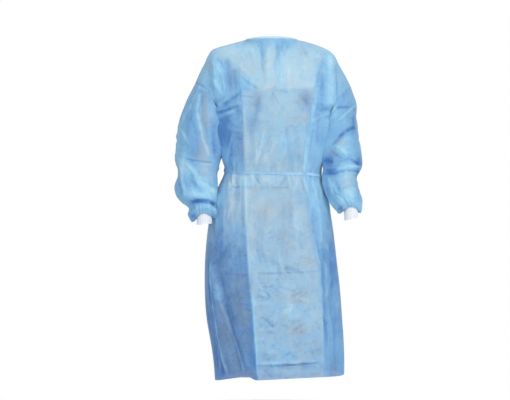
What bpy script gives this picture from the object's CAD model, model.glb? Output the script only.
import math

import bpy
import numpy as np
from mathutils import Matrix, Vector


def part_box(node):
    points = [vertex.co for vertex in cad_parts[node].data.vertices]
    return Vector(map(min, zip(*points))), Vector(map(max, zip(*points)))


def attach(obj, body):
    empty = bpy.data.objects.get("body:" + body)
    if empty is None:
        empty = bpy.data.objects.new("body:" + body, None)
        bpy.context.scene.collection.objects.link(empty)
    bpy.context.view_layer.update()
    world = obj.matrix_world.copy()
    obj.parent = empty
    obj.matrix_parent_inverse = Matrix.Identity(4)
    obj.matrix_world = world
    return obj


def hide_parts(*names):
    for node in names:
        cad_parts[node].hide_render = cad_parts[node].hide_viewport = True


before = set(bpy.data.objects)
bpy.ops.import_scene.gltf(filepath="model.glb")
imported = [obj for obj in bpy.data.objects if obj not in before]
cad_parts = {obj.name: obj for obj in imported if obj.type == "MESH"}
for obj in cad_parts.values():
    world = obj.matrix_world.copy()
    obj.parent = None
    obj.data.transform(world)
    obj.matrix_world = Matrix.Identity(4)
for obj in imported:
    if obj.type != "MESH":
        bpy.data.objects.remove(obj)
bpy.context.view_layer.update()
print("frame loaded,", len(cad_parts), "nodes")


# small helpers

def hexColour(code):  # sRGB hex to linear
    channels = [int(code[i:i + 2], 16) / 255 for i in (1, 3, 5)]
    return [c / 12.92 if c <= 0.04045 else ((c + 0.055) / 1.055) ** 2.4 for c in channels] + [1.0]


def setInputs(tree, node, inputs):  # a value may be a socket, or a node, which gives its first output
    for name, value in inputs.items():
        if isinstance(value, bpy.types.Node):
            value = value.outputs[0]
        if isinstance(value, bpy.types.NodeSocket):
            tree.links.new(value, node.inputs[name])
        else:
            node.inputs[name].default_value = value


def addNode(tree, kind, inputs=None, **settings):
    node = tree.nodes.new(kind)
    for name, value in settings.items():
        setattr(node, name, value)
    setInputs(tree, node, inputs or {})
    return node


def addObject(name, data):
    made = bpy.data.objects.new(name, data)
    bpy.context.scene.collection.objects.link(made)
    return made


def ease(value):
    value = np.clip(value, 0.0, 1.0)
    return value * value * (3 - 2 * value)


def unit(vectors):
    return vectors / np.maximum(np.linalg.norm(vectors, axis=-1, keepdims=True), 1e-12)


def inUnits(units, *rows):  # rows given in thousandths or hundredths, as an array. Zeros at a row's end are left out
    width = np.size(units) if np.ndim(units) else len(rows[0])
    return np.array([row + (0,) * (width - len(row)) for row in rows]) * units


def cubic(t, start, startSlope, end, endSlope):
    return ((2 * t**3 - 3 * t**2 + 1) * start + (t**3 - 2 * t**2 + t) * startSlope
            + (3 * t**2 - 2 * t**3) * end + (t**3 - t**2) * endSlope)


def smooth(knots, values, at):  # smooth curve through values at knots, read at the places in at
    values, knots = np.asarray(values, float), np.asarray(knots, float)
    slopes = np.gradient(values, knots, axis=0)
    at = np.clip(np.asarray(at, float), knots[0], knots[-1])
    index = np.clip(np.searchsorted(knots, at) - 1, 0, len(knots) - 2)
    span = knots[index + 1] - knots[index]
    t = (at - knots[index]) / span
    if values.ndim > 1:
        more = (slice(None),) + (None,) * (values.ndim - 1)
        t, span = t[more], span[more]
    return cubic(t, values[index], span * slopes[index], values[index + 1], span * slopes[index + 1])


def between(rows, at):  # the same, with the places counted in rows
    return smooth(np.arange(len(rows)), rows, at)


def refine(grid, rowSteps, columnSteps, wrap=False):  # more rows and columns on the same smooth surface
    last = len(grid) - 1
    if rowSteps > 1:
        grid = between(grid, np.linspace(0, last, last * rowSteps + 1))
    across = np.swapaxes(grid, 0, 1)
    count = len(across)
    if wrap:
        across = np.concatenate([across[-3:], across, across[:4]])
        at = 3 + np.arange(count * columnSteps) / columnSteps
    else:
        at = np.linspace(0, count - 1, (count - 1) * columnSteps + 1)
    return np.swapaxes(between(across, at), 0, 1)


def travelled(points):  # distance along a line from its first point
    return np.concatenate([[0.0], np.cumsum(np.linalg.norm(np.diff(points, axis=0), axis=1))])


def evenly(line, count):  # points at even distances on a line of close points
    distance = travelled(line)
    wanted = np.linspace(0.0, distance[-1], count)
    return np.stack([np.interp(wanted, distance, column) for column in line.T], axis=1)


def alongCurve(points, count):
    points = np.asarray(points, float)
    return evenly(between(points, np.linspace(0, len(points) - 1, 400)), count)


def gridNormals(grid, wrap=False):
    if wrap:
        across = np.roll(grid, -1, axis=1) - np.roll(grid, 1, axis=1)
    else:
        across = np.gradient(grid, axis=1)
    return unit(np.cross(across, np.gradient(grid, axis=0)))


# the gown's cut on the body: sections, guide lines and seams

sectionNames = ("z", "left", "right", "front", "back", "square")
sectionUnits = (0.001, 0.001, 0.001, 0.001, 0.001, 0.01)
gown = {
    "seamY": 0.015,
    "sections": inUnits(sectionUnits,  # level sections of the body, hem to underarm
        (-1135, -190, 241, -147, 168, 215), (-1053, -197, 241, -143, 165, 215), (-1003, -205, 239, -141, 163, 215),
        (-927, -218, 234, -138, 160, 220), (-823, -224, 226, -134, 155, 225), (-737, -223, 216, -130, 150, 240),
        (-650, -216, 206, -124, 143, 280), (-570, -203, 194, -116, 135, 340), (-500, -184, 181, -108, 125, 360),
        (-445, -157, 164.5, -101, 115, 340), (-400, -166.5, 170.5, -106, 122, 330),
        (-330, -176.5, 183, -113, 131, 360), (-240, -189, 202, -119, 136, 380)),
    "guides": inUnits(0.001,  # heights at left, front, right and back: hem, belt and underarm
        (-1133, -1107, -1113, -1120), (-433, -445.5, -456.7, -445), (-243, -262, -256, -264)),
    "shoulderLeft": inUnits(0.001,
        (-254.5, -140), (-236.3, -99.6), (-219, -66), (-209, -43), (-193, -29), (-154, -16.8), (-108, -4.5),
        (-91, 0)),
    "shoulderRight": inUnits(0.001,
        (264.7, -159), (243, -116), (223.6, -82), (209, -53), (188, -33.5), (150, -16.8), (108, -4), (88, 0)),
    "armholeLeft": {
        "front": inUnits(0.001,
            (-190.5, -68, -238), (-199, -84, -194), (-229, -58, -155), (-254.5, 15, -140)),
        "back": inUnits(0.001,
            (-191.5, 58, -231), (-200, 98, -196), (-229, 78, -158), (-254.5, 15, -140)),
    },
    "armholeRight": {
        "front": inUnits(0.001,
            (200.5, -68, -251), (210, -84, -211), (239, -58, -173), (264.7, 15, -159)),
        "back": inUnits(0.001,
            (201.5, 58, -244), (211, 98, -210), (239, 78, -176), (264.7, 15, -159)),
    },
    "packingCreases": inUnits(0.001,  # z, x of the left crease, x of the right crease
        (-1110, -47, 160), (-963, -57, 160), (-865, -67, 160), (-767, -77, 154), (-666, -84, 132), (-517, -92, 112),
        (-445, -93, 101), (-345, -94, 113), (-250, -99, 131)),
    "creaseTop": (-0.030, -0.108, 0.150),
    "neck": {"left": -0.091, "right": 0.088, "front": -0.076, "back": 0.098, "zFront": -0.0025, "zBack": 0.006,
             "slopeSide": 18, "slopeFront": 50, "slopeBack": 60, "parting": 0.0060},
    "yoke": {"rise": 0.25, "rounds": 14, "rows": 12,
             "over": 0.15, "upward": 0.12, "inward": 0.5, "inwardReach": 0.9},
}
grids = {  # rows and columns of the plain surface, and how finely each is divided
    "sideLeft": 9, "shoulderLeft": 2, "neck": 8, "shoulderRight": 4, "sideRight": 8,
    "skirtRows": 15, "torsoRows": 4, "backSkirtRows": 11, "backTorsoRows": 3, "backShoulder": 8, "backNeck": 6,
    "frontFine": (8, 6), "backFine": (7, 6), "sleeveColumns": 24, "sleeveFine": 6,
}


def bodyValue(name, z):
    return smooth(gown["sections"][:, 0], gown["sections"][:, sectionNames.index(name)], z)


def guideHeight(angle, level):  # level 0 hem, 1 belt, 2 underarm
    sine, cosine = np.sin(angle), np.cos(angle)
    shares = [np.maximum(side, 0) ** 2 for side in (-sine, cosine, sine, -cosine)]
    hem, belt, underarm = [sum(share * height for share, height in zip(shares, row)) for row in gown["guides"]]
    return hem + (belt - hem) * np.clip(level, 0, 1) + (underarm - belt) * np.clip(level - 1, 0, 1)


def bodyPoint(angle, level):  # angle 0 front, a right angle the right side
    z = guideHeight(angle, level)
    left, right = bodyValue("left", z), bodyValue("right", z)
    power = 2 / bodyValue("square", z)
    sine, cosine = np.sin(angle), np.cos(angle)
    depth = np.where(cosine > 0, gown["seamY"] - bodyValue("front", z), bodyValue("back", z) - gown["seamY"])
    x = (left + right) / 2 + (right - left) / 2 * np.sign(sine) * np.abs(sine) ** power
    y = gown["seamY"] - depth * np.sign(cosine) * np.abs(cosine) ** power
    return np.stack([x, y, z], axis=-1)


def frontAngleAt(x, level):
    z = guideHeight(np.zeros_like(x), level)
    left, right = bodyValue("left", z), bodyValue("right", z)
    share = (x - (left + right) / 2) / ((right - left) / 2)
    return np.sign(share) * np.arcsin(np.abs(share) ** (bodyValue("square", z) / 2))


def necklinePoint(angle):
    neck, seamY = gown["neck"], gown["seamY"]
    sine, cosine = np.sin(angle), np.cos(angle)
    x = np.where(sine < 0, -neck["left"], neck["right"]) * sine
    y = seamY - np.where(cosine > 0, seamY - neck["front"], neck["back"] - seamY) * cosine
    z = np.where(cosine > 0, neck["zFront"], neck["zBack"]) * cosine**2
    return np.stack([x, y, z], axis=-1)


def shoulderPoints(table, xFrom, xTo, count):
    fine = between(table, np.linspace(0, len(table) - 1, 600))
    order = np.argsort(fine[:, 0])
    run = fine[(fine[:, 0] >= min(xFrom, xTo) - 1e-9) & (fine[:, 0] <= max(xFrom, xTo) + 1e-9)]
    first, last = (np.array([x, np.interp(x, fine[order, 0], fine[order, 1])]) for x in (xFrom, xTo))
    if abs(run[0, 0] - xFrom) > abs(run[-1, 0] - xFrom):
        run = run[::-1]
    x, z = evenly(np.vstack([first, run, last]), count).T
    return np.stack([x, np.full(count, gown["seamY"]), z], axis=1)


def besideNeck(x):  # 0 on the middle line, 1 at the side of the neck
    return np.where(x < 0, x / gown["neck"]["left"], x / gown["neck"]["right"])


def neckRise(points):  # how the cloth reaches the neck, and the way into the gown
    neck = gown["neck"]
    side = np.clip(np.abs(besideNeck(points[:, 0])), 0, 1)[:, None] ** 2
    end = np.where(points[:, 1:2] < gown["seamY"], neck["slopeFront"], neck["slopeBack"])
    slope = np.radians(side * neck["slopeSide"] + (1 - side) * end)
    level = unit(np.stack([-points[:, 0], gown["seamY"] - points[:, 1], np.zeros(len(points))], axis=1))
    up = np.array([0.0, 0.0, 1.0])
    return level * np.cos(slope) + up * np.sin(slope), level * np.sin(slope) - up * np.cos(slope)


def armholeLoop(armhole):
    underarm = bodyPoint(math.copysign(math.pi / 2, armhole["front"][0][0]), 2.0)
    count = gown["yoke"]["rows"] + 1
    front, back = (alongCurve(np.vstack([underarm, armhole[half]]), count) for half in ("front", "back"))
    return np.vstack([front, back[-2:0:-1]])


def armholeFine(armhole, steps):
    return refine(armholeLoop(armhole)[None], 1, steps, wrap=True)[0]


def yokeRows(bottom, top, over, armholes):  # from the underarm line to the shoulders and the neckline
    t = np.linspace(0, 1, gown["yoke"]["rows"] + 1)[1:, None, None]
    rise = np.array([0.0, 0.0, gown["yoke"]["rise"]])
    grid = cubic(t, bottom, rise, top, over)
    for column, edge, share in armholes:
        grid = grid + (edge[1:] - grid[:, column])[:, None] * share[None, :, None]
    grid = np.concatenate([bottom[None], grid])
    for _ in range(gown["yoke"]["rounds"]):
        around = (grid[:-2, 1:-1] + grid[2:, 1:-1] + grid[1:-1, :-2] + grid[1:-1, 2:]) / 4
        grid[1:-1, 1:-1] += 0.5 * (around - grid[1:-1, 1:-1])
    return grid[1:]


def overDirections(top, toSeam, isNeck):  # how the cloth goes over the shoulder, or reaches the neck
    beside, yoke = besideNeck(top[:, 0]), gown["yoke"]
    inwards = -yoke["inward"] * np.sign(top[:, 0]) * (1 - ease((beside - 1) / yoke["inwardReach"]))
    over = unit(np.stack([inwards, np.full(len(top), toSeam), np.full(len(top), yoke["upward"])], axis=1))
    share = np.where(isNeck, np.clip(beside, 0, 1) ** 4, 1.0)[:, None]
    rise, _ = neckRise(top)
    return unit(share * over + (1 - share) * rise) * yoke["over"] * (1 + share)


def armholeEdge(armhole, half):
    loop, order = armholeLoop(armhole), np.arange(gown["yoke"]["rows"] + 1)
    return loop[order if half == "front" else -order]


def withYoke(lower, top, half, neckSpan, reaches):  # reaches: columns that the armholes draw along, left and right
    place = np.arange(len(top))
    isNeck = (place >= neckSpan[0]) & (place <= neckSpan[1])
    fromLeft, fromRight = (np.clip(1 - off / reach, 0, 1) ** 2 for off, reach in zip((place, place[::-1]), reaches))
    armholes = ((0, armholeEdge(gown["armholeLeft"], half), fromLeft),
                (len(top) - 1, armholeEdge(gown["armholeRight"], half), fromRight))
    over = overDirections(top, 1.0 if half == "front" else -1.0, isNeck)
    return np.concatenate([lower, yokeRows(lower[-1], top, over, armholes)])


def beltLevels(skirtRows, torsoRows):
    return np.concatenate([np.linspace(0, 1, skirtRows + 1), np.linspace(1, 2, torsoRows + 1)[1:]])


def plainFront():
    g = grids
    centre = g["shoulderLeft"] + g["neck"] + g["shoulderRight"]
    creases = gown["packingCreases"]
    levels = beltLevels(g["skirtRows"], g["torsoRows"])
    rows = []
    for level in levels:
        z = guideHeight(np.zeros(1), level)
        leftAngle, rightAngle = (frontAngleAt(smooth(creases[:, 0], creases[:, c], z), level)[0] for c in (1, 2))
        angles = np.concatenate([np.linspace(-math.pi / 2, leftAngle, g["sideLeft"] + 1),
                                 np.linspace(leftAngle, rightAngle, centre + 1)[1:],
                                 np.linspace(rightAngle, math.pi / 2, g["sideRight"] + 1)[1:]])
        rows.append(bodyPoint(angles, level))
    lower = np.array(rows)
    left, right, neck = gown["shoulderLeft"], gown["shoulderRight"], gown["neck"]
    creaseLeft, creaseRight = gown["creaseTop"][1:]
    top = np.vstack([
        shoulderPoints(left, left[0][0], creaseLeft, g["sideLeft"] + 1),
        shoulderPoints(left, creaseLeft, neck["left"], g["shoulderLeft"] + 1)[1:],
        necklinePoint(np.linspace(-math.pi / 2, math.pi / 2, g["neck"] + 1))[1:-1],
        shoulderPoints(right, neck["right"], creaseRight, g["shoulderRight"] + 1),
        shoulderPoints(right, creaseRight, right[0][0], g["sideRight"] + 1)[1:],
    ])
    first = g["sideLeft"] + g["shoulderLeft"]
    return withYoke(lower, top, "front", (first, first + g["neck"]), (g["sideLeft"] + 1, g["sideRight"] + 1))


def plainBack():
    g = grids
    columns = 2 * (g["backShoulder"] + g["backNeck"])
    levels = beltLevels(g["backSkirtRows"], g["backTorsoRows"])
    angles = np.linspace(-math.pi / 2, -3 * math.pi / 2, columns + 1)
    lower = np.array([bodyPoint(angles, level) for level in levels])
    left, right, neck = gown["shoulderLeft"], gown["shoulderRight"], gown["neck"]
    top = np.vstack([
        shoulderPoints(left, left[0][0], neck["left"], g["backShoulder"] + 1),
        necklinePoint(np.linspace(-math.pi / 2, -3 * math.pi / 2, 2 * g["backNeck"] + 1))[1:-1],
        shoulderPoints(right, neck["right"], right[0][0], g["backShoulder"] + 1),
    ])
    first = g["backShoulder"]
    return withYoke(lower, top, "back", (first, columns - first), (first, first))


# folds: each raises (height over 0) or sinks the cloth beside a run that may bend, and thins out at both ends

foldUnits = (0.001, 0.001, 0.001, 0.001, 0.0001, 0.001, 0.01, 0.0001)
patchUnits = (0.001, 0.001, 0.001, 0.001, 0.01, 0.01)
bandUnits = (0.001, 0.001, 0.001, 0.001, 0.001, 0.001, 0.01, 0.01)
sideUnits = (0.001, 0.01, 0.01)
creaseUnits = (0.001, 0.01, 0.001, 0.001, 0.0001, 0.001)
scatterUnits = (0.001, 0.001, 0.001, 0.001, 1, 1, 1, 0.001, 0.0001, 0.001)
wrapUnits = (0.01, 0.01, 0.0001, 0.01, 0.01, 0.01)

foldShape = {"ends": 0.2, "narrow": 0.55, "slope": 1.35}  # share that thins out, width at the ends, how sharp
bandEnds = 0.12
creaseShape = {"ends": 0.05, "round": 0.0015, "slope": 1.6}  # metres that thin out, rounding, how sharp


def besideRun(x, z, xTop, zTop, xFoot, zFoot):  # share of the way down a straight run, and distance to its side
    runX, runZ = xFoot - xTop, zFoot - zTop
    length = math.hypot(runX, runZ)
    return ((x - xTop) * runX + (z - zTop) * runZ) / length**2, ((x - xTop) * runZ - (z - zTop) * runX) / length


def foldHeight(x, z, folds):  # xTop, zTop, xFoot, zFoot, height, reach, paler or darker, bend
    raised, light = np.zeros(x.shape), np.zeros(x.shape)
    for *run, height, reach, glow, bend in folds:
        share, aside = besideRun(x, z, *run)
        arch = np.sin(math.pi * np.clip(share, 0, 1))
        ends = ease(share / foldShape["ends"]) * ease((1 - share) / foldShape["ends"])
        width = reach * (foldShape["narrow"] + (1 - foldShape["narrow"]) * arch)
        near = np.clip(1 - np.abs(aside - bend * arch) / width, 0, 1)
        raised += height * ends * near ** foldShape["slope"]
        light += glow * ends * near
    return raised, light


def softTones(x, z, patches, bands):  # how pale and how grey
    both = np.zeros((2,) + x.shape)
    for atX, atZ, spreadX, spreadZ, *shades in patches:
        near = np.exp(-((x - atX) / spreadX) ** 2 - ((z - atZ) / spreadZ) ** 2)
        both += np.multiply.outer(shades, near)
    for *run, half, soft, paler, greyer in bands:  # xTop, zTop, xFoot, zFoot, half width, softness
        share, aside = besideRun(x, z, *run)
        near = ease(0.5 + (half - np.abs(aside)) / (2 * soft)) * ease(share / bandEnds) * ease((1 - share) / bandEnds)
        both += np.multiply.outer((paler, greyer), near)
    return both


def creaseHeight(along, aside, path, height, reach):  # a sharp pressed line: aside of it at each place along
    path = np.array(path)
    order = np.argsort(path[:, 0])
    line = np.interp(along, path[order, 0], path[order, 1])
    first, last = path[order[0], 0], path[order[-1], 0]
    ends = ease((along - first) / creaseShape["ends"]) * ease((last - along) / creaseShape["ends"])
    distance = np.hypot(aside - line, creaseShape["round"])
    return height * ends * np.clip(1 - distance / reach, 0, 1) ** creaseShape["slope"]


scatter = {"length": (0.55, 1.3), "height": (0.4, 1.2), "reach": (0.7, 1.4), "bend": 0.18, "raised": 0.6, "light": 28}


def scatteredFolds(patches, seed):  # x, z, spreadX, spreadZ, count, turn, turnSpread, length, height, reach
    dice = np.random.default_rng(seed)
    folds = []
    for x, z, spreadX, spreadZ, count, turn, turnSpread, length, height, reach in patches:
        for _ in range(int(count)):
            middleX, middleZ = x + spreadX * dice.uniform(-1, 1), z + spreadZ * dice.uniform(-1, 1)
            angle = math.radians(turn + turnSpread * dice.uniform(-1, 1))
            half = length / 2 * dice.uniform(*scatter["length"])
            stepX, stepZ = half * math.sin(angle), half * math.cos(angle)
            lift = height * dice.uniform(*scatter["height"]) * (1 if dice.uniform() < scatter["raised"] else -1)
            folds.append((middleX - stepX, middleZ + stepZ, middleX + stepX, middleZ - stepZ,
                          lift, reach * dice.uniform(*scatter["reach"]), scatter["light"] * lift,
                          half * scatter["bend"] * dice.uniform(-1, 1)))
    return folds


slow = {"count": 9, "lengths": (0.05, 0.17), "middle": 0.11, "upright": 0.45}


def slowWaves(x, y, z, height, seed):  # low uneven undulation, so that no stretch of cloth is perfectly even
    dice = np.random.default_rng(seed)
    waves = np.zeros(x.shape)
    for _ in range(slow["count"]):
        length = dice.uniform(*slow["lengths"])
        way = unit(dice.normal(size=3) * np.array([1.0, 1.0, slow["upright"]])) * 2 * math.pi / length
        waves += np.sin(way[0] * x + way[1] * y + way[2] * z + dice.uniform(0, 2 * math.pi)) * length / slow["middle"]
    return height * waves / math.sqrt(slow["count"])


# making meshes

def addValues(mesh, key, values, kind="FLOAT"):  # one number, or one vector, for each point
    made = mesh.attributes.new(key, kind, "POINT")
    made.data.foreach_set("value" if kind == "FLOAT" else "vector", np.asarray(values, np.float32).ravel())


def makeMesh(name, points, faces, material, attributes=None):
    mesh = bpy.data.meshes.new(name)
    mesh.from_pydata(np.asarray(points, float).tolist(), [], [list(face) for face in faces])
    for key, values in (attributes or {}).items():
        addValues(mesh, key, values)
    mesh.shade_smooth()
    mesh.set_sharp_from_angle(angle=math.radians(52))
    mesh.materials.append(material)
    return addObject(name, mesh)


def facesIn(points, faces, middle=0.0):  # whether faces of four corners look towards the middle
    a, b, c, d = (points[faces[:, i]] for i in range(4))
    return np.einsum("ij,ij->", (a + b + c + d) / 4 - middle, np.cross(c - a, d - b)) < 0


def shellFaces(rows, columns, wrap):  # outer side, inner side and the rims between them
    second = rows * columns
    index = np.arange(second).reshape(rows, columns)
    if wrap:
        index = np.hstack([index, index[:, :1]])
    outer = np.stack([index[:-1, :-1], index[:-1, 1:], index[1:, 1:], index[1:, :-1]], axis=-1).reshape(-1, 4)
    faces = [outer, outer[:, ::-1] + second]
    rims = [(index[0], True), (index[-1], False)]
    if not wrap:
        rims += [(index[:, 0], False), (index[:, -1], True)]
    for line, flip in rims:
        edge, after = line[:-1], line[1:]
        rim = np.stack([edge, after, after + second, edge + second], axis=-1)
        faces.append(rim[:, ::-1] if flip else rim)
    return np.vstack(faces)


def shellMesh(name, outer, inner, material, wrap=False, **attributes):
    points = np.concatenate([outer.reshape(-1, 3), inner.reshape(-1, 3)])
    faces = shellFaces(*outer.shape[:2], wrap)
    if facesIn(points, faces):
        faces = faces[:, ::-1]
    doubled = {key: np.tile(values.ravel(), 2) for key, values in attributes.items()}
    return makeMesh(name, points, faces, material, doubled)


def sweptMesh(name, path, sideways, outward, profile, material, closed=False, width=1.0, **attributes):
    count, ring = len(path), len(profile)
    profile = np.array(profile)
    wide = np.ones(count) * width
    points = (path[:, None] + sideways[:, None] * (profile[:, 0] * wide[:, None])[..., None]
              + outward[:, None] * profile[None, :, 1:2]).reshape(-1, 3)
    row, col = np.meshgrid(np.arange(count if closed else count - 1), np.arange(ring), indexing="ij")
    a, b = row * ring + col, row * ring + (col + 1) % ring
    c, d = (b + ring) % (count * ring), (a + ring) % (count * ring)
    faces = np.stack([a, b, c, d], axis=-1).reshape(-1, 4)
    flip = facesIn(points, faces, np.repeat(path if closed else path[:-1], ring, axis=0))
    ends = [] if closed else [list(range(ring))[::-1], list(range((count - 1) * ring, count * ring))]
    faces = faces.tolist() + ends
    if flip:
        faces = [face[::-1] for face in faces]
    values = {key: np.repeat(value, ring) for key, value in attributes.items()}
    return makeMesh(name, points, faces, material, values)


def tapeProfile(width, thickness, groove=0.0):  # a folded tape in section, with rounded edges and a weld line
    half, thick = width / 2, thickness / 2
    outer = [(half, 0.0), (half * 0.93, thick * 0.8), (half * 0.6, thick), (half * 0.2, thick), (0.0, thick - groove),
             (-half * 0.2, thick), (-half * 0.6, thick), (-half * 0.93, thick * 0.8), (-half, 0.0)]
    inner = [(-half * 0.93, -thick * 0.8), (-half * 0.5, -thick), (half * 0.5, -thick), (half * 0.93, -thick * 0.8)]
    return outer + inner


# materials

def newMaterial(name):
    material = bpy.data.materials.new(name)
    material.use_nodes = True
    tree = material.node_tree
    tree.nodes.clear()
    shader = addNode(tree, "ShaderNodeBsdfPrincipled")
    output = addNode(tree, "ShaderNodeOutputMaterial", {"Surface": shader})
    shader.location, output.location = (0, 0), (300, 0)
    return material, tree, shader


# spunbond polypropylene non-woven, thermally point-bonded: thin, soft, slightly see-through, with a cloudy
# spread of fibres and a dull sheen. Real bond points stand 1.2 mm apart, and are drawn at 2.6 mm so that they show.
nonwoven = {
    "blue": ((0.0, "#3f77bd"), (0.2, "#5a93cf"), (0.4, "#78b0e0"), (0.6, "#8ec6eb"), (0.8, "#a2d9f5"),
             (1.0, "#bfe8fa")),
    "grey": ((0.0, "#6280a0"), (0.2, "#7b97b3"), (0.4, "#93aec6"), (0.6, "#a8c0d1"), (0.8, "#bcd3df"),
             (1.0, "#cfe2ea")),
    "noises": {  # size in mm, detail, roughness, distortion, kind
        "cloud": (34, 5.0, 0.62, 0.0, "FBM"), "blotch": (50, 4.0, 0.65, 0.4, "FBM"),
        "fibre": (5.0, 3.0, 0.7, 0.6, "FBM"), "pucker": (15, 3.0, 0.5, 0.0, "FBM"),
        "mottle": (17, 1.5, 0.6, 0.3, "FBM"), "crumple": (34, 3.0, 0.6, 0.5, "RIDGED_MULTIFRACTAL"),
    },
    "cloud": 0.34, "fibre": 0.24, "blotch": 1.1, "mottle": 0.75, "crumple": 0.13, "bondMm": 2.6, "bond": 0.6,
    "roughness": 0.6, "sheen": 0.5, "alpha": 0.80,
}
plasticIor = 1.49  # polypropylene


def makeRamp(tree, stops, factor):
    ramp = addNode(tree, "ShaderNodeValToRGB", {"Fac": factor})
    for index, (position, code) in enumerate(stops):
        stop = ramp.color_ramp.elements[index] if index < 2 else ramp.color_ramp.elements.new(position)
        stop.position, stop.color = position, hexColour(code)
    return ramp.outputs["Color"]


def makeNonwoven(name):
    material, tree, shader = newMaterial(name)
    facts = nonwoven
    place = addNode(tree, "ShaderNodeTexCoord").outputs["Object"]
    noises = {}
    for key, (size, detail, roughness, distortion, kind) in facts["noises"].items():
        noises[key] = addNode(tree, "ShaderNodeTexNoise", noise_type=kind, inputs={
            "Vector": place, "Scale": 1000 / size, "Detail": detail, "Roughness": roughness,
            "Distortion": distortion})
    setInputs(tree, noises["crumple"], {"Offset": 0.9, "Gain": 1.4})
    lines = addNode(tree, "ShaderNodeMapRange", {"Value": noises["crumple"], "From Min": 0.75, "From Max": 1.5},
                    interpolation_type="SMOOTHSTEP")
    where = addNode(tree, "ShaderNodeMapRange", {"Value": noises["pucker"], "From Min": 0.46, "From Max": 0.66,
                                                 "To Max": -facts["crumple"]})
    level, greyness = (addNode(tree, "ShaderNodeAttribute", attribute_name=key).outputs["Fac"]
                       for key in ("tone", "grey"))
    for value, times in ((noises["cloud"], facts["cloud"]), (noises["fibre"], facts["fibre"]), (lines, where)):
        level = addNode(tree, "ShaderNodeMath", {0: value, 1: times, 2: level}, operation="MULTIPLY_ADD")
    for key in ("blotch", "mottle"):
        greyness = addNode(tree, "ShaderNodeMath", {0: noises[key], 1: facts[key], 2: greyness},
                           operation="MULTIPLY_ADD")
    half = -(facts["cloud"] + facts["fibre"]) / 2 + 0.1 * facts["crumple"]
    level = addNode(tree, "ShaderNodeMath", {0: level, 1: half})
    greyness = addNode(tree, "ShaderNodeMath", {0: greyness, 1: -(facts["blotch"] + facts["mottle"]) / 2},
                       use_clamp=True)
    mixed = addNode(tree, "ShaderNodeMix", {0: greyness, 6: makeRamp(tree, facts["blue"], level),
                                            7: makeRamp(tree, facts["grey"], level)}, data_type="RGBA")
    bond = addNode(tree, "ShaderNodeTexVoronoi", {"Vector": place, "Scale": 1000 / facts["bondMm"],
                                                  "Randomness": 0.35})
    weave = addNode(tree, "ShaderNodeMath", {0: bond, 1: facts["bond"], 2: noises["fibre"]},
                    operation="MULTIPLY_ADD")
    soft = addNode(tree, "ShaderNodeBump", {"Height": noises["pucker"], "Strength": 0.6, "Distance": 0.003})
    bump = addNode(tree, "ShaderNodeBump", {"Height": weave, "Strength": 0.35, "Distance": 0.0006,
                                            "Normal": soft})
    setInputs(tree, shader, {
        "Base Color": mixed.outputs[2], "Normal": bump, "Roughness": facts["roughness"],
        "IOR": plasticIor, "Sheen Weight": facts["sheen"], "Sheen Roughness": 0.40,
        "Sheen Tint": hexColour("#d4ecfb"), "Alpha": facts["alpha"]})
    return material


# the same non-woven folded into tape: four layers, so it is opaque, paler and smoother
tape = {"colour": "#b9e2f5", "dark": "#6fa9d6", "fibreMm": 4.0, "roughness": 0.55}
edging = {"colour": "#8fc4ea", "dark": "#6ba4d8", "fibreMm": 4.0, "roughness": 0.6}


def makeTape(name, facts):
    material, tree, shader = newMaterial(name)
    place = addNode(tree, "ShaderNodeTexCoord").outputs["Object"]
    fibre = addNode(tree, "ShaderNodeTexNoise", {"Vector": place, "Scale": 1000 / facts["fibreMm"], "Detail": 4.0})
    tone = addNode(tree, "ShaderNodeAttribute", attribute_name="tone").outputs["Fac"]
    toned = addNode(tree, "ShaderNodeMath", {0: fibre, 1: 0.6, 2: tone}, operation="MULTIPLY_ADD")
    spread = addNode(tree, "ShaderNodeMapRange", {"Value": toned, "From Min": 0.0, "From Max": 1.2})
    mixed = addNode(tree, "ShaderNodeMix", {0: spread, 6: hexColour(facts["dark"]),
                                            7: hexColour(facts["colour"])}, data_type="RGBA")
    bump = addNode(tree, "ShaderNodeBump", {"Height": fibre, "Strength": 0.3, "Distance": 0.0005})
    setInputs(tree, shader, {"Base Color": mixed.outputs[2], "Normal": bump,
                             "Roughness": facts["roughness"], "Sheen Weight": 0.3, "IOR": plasticIor})
    return material


# bleached polyester rib knit: bright, soft and matt, with a column of small loops on each rib
knit = {"colour": "#f4f6f8", "shade": "#d3dce4", "loopMm": 1.9, "roughness": 0.9}


def makeKnit():
    material, tree, shader = newMaterial("bleached rib knit")
    place = addNode(tree, "ShaderNodeTexCoord").outputs["Object"]
    rib = addNode(tree, "ShaderNodeAttribute", attribute_name="rib").outputs["Fac"]
    loops = addNode(tree, "ShaderNodeTexWave", {"Vector": place, "Scale": 1000 / knit["loopMm"] / (2 * math.pi),
                                                "Distortion": 1.2, "Detail": 1.0}, bands_direction="Z")
    fuzz = addNode(tree, "ShaderNodeTexNoise", {"Vector": place, "Scale": 900.0, "Detail": 2.0})
    shade = addNode(tree, "ShaderNodeMath", {0: loops.outputs["Fac"], 1: 0.3, 2: rib}, operation="MULTIPLY_ADD")
    mixed = addNode(tree, "ShaderNodeMix", {0: shade, 6: hexColour(knit["shade"]),
                                            7: hexColour(knit["colour"])}, data_type="RGBA")
    height = addNode(tree, "ShaderNodeMath", {0: fuzz, 1: 0.4, 2: loops.outputs["Fac"]},
                     operation="MULTIPLY_ADD")
    bump = addNode(tree, "ShaderNodeBump", {"Height": height, "Strength": 0.5, "Distance": 0.0005})
    setInputs(tree, shader, {"Base Color": mixed.outputs[2], "Normal": bump,
                             "Roughness": knit["roughness"], "Sheen Weight": 0.35})
    return material


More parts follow.
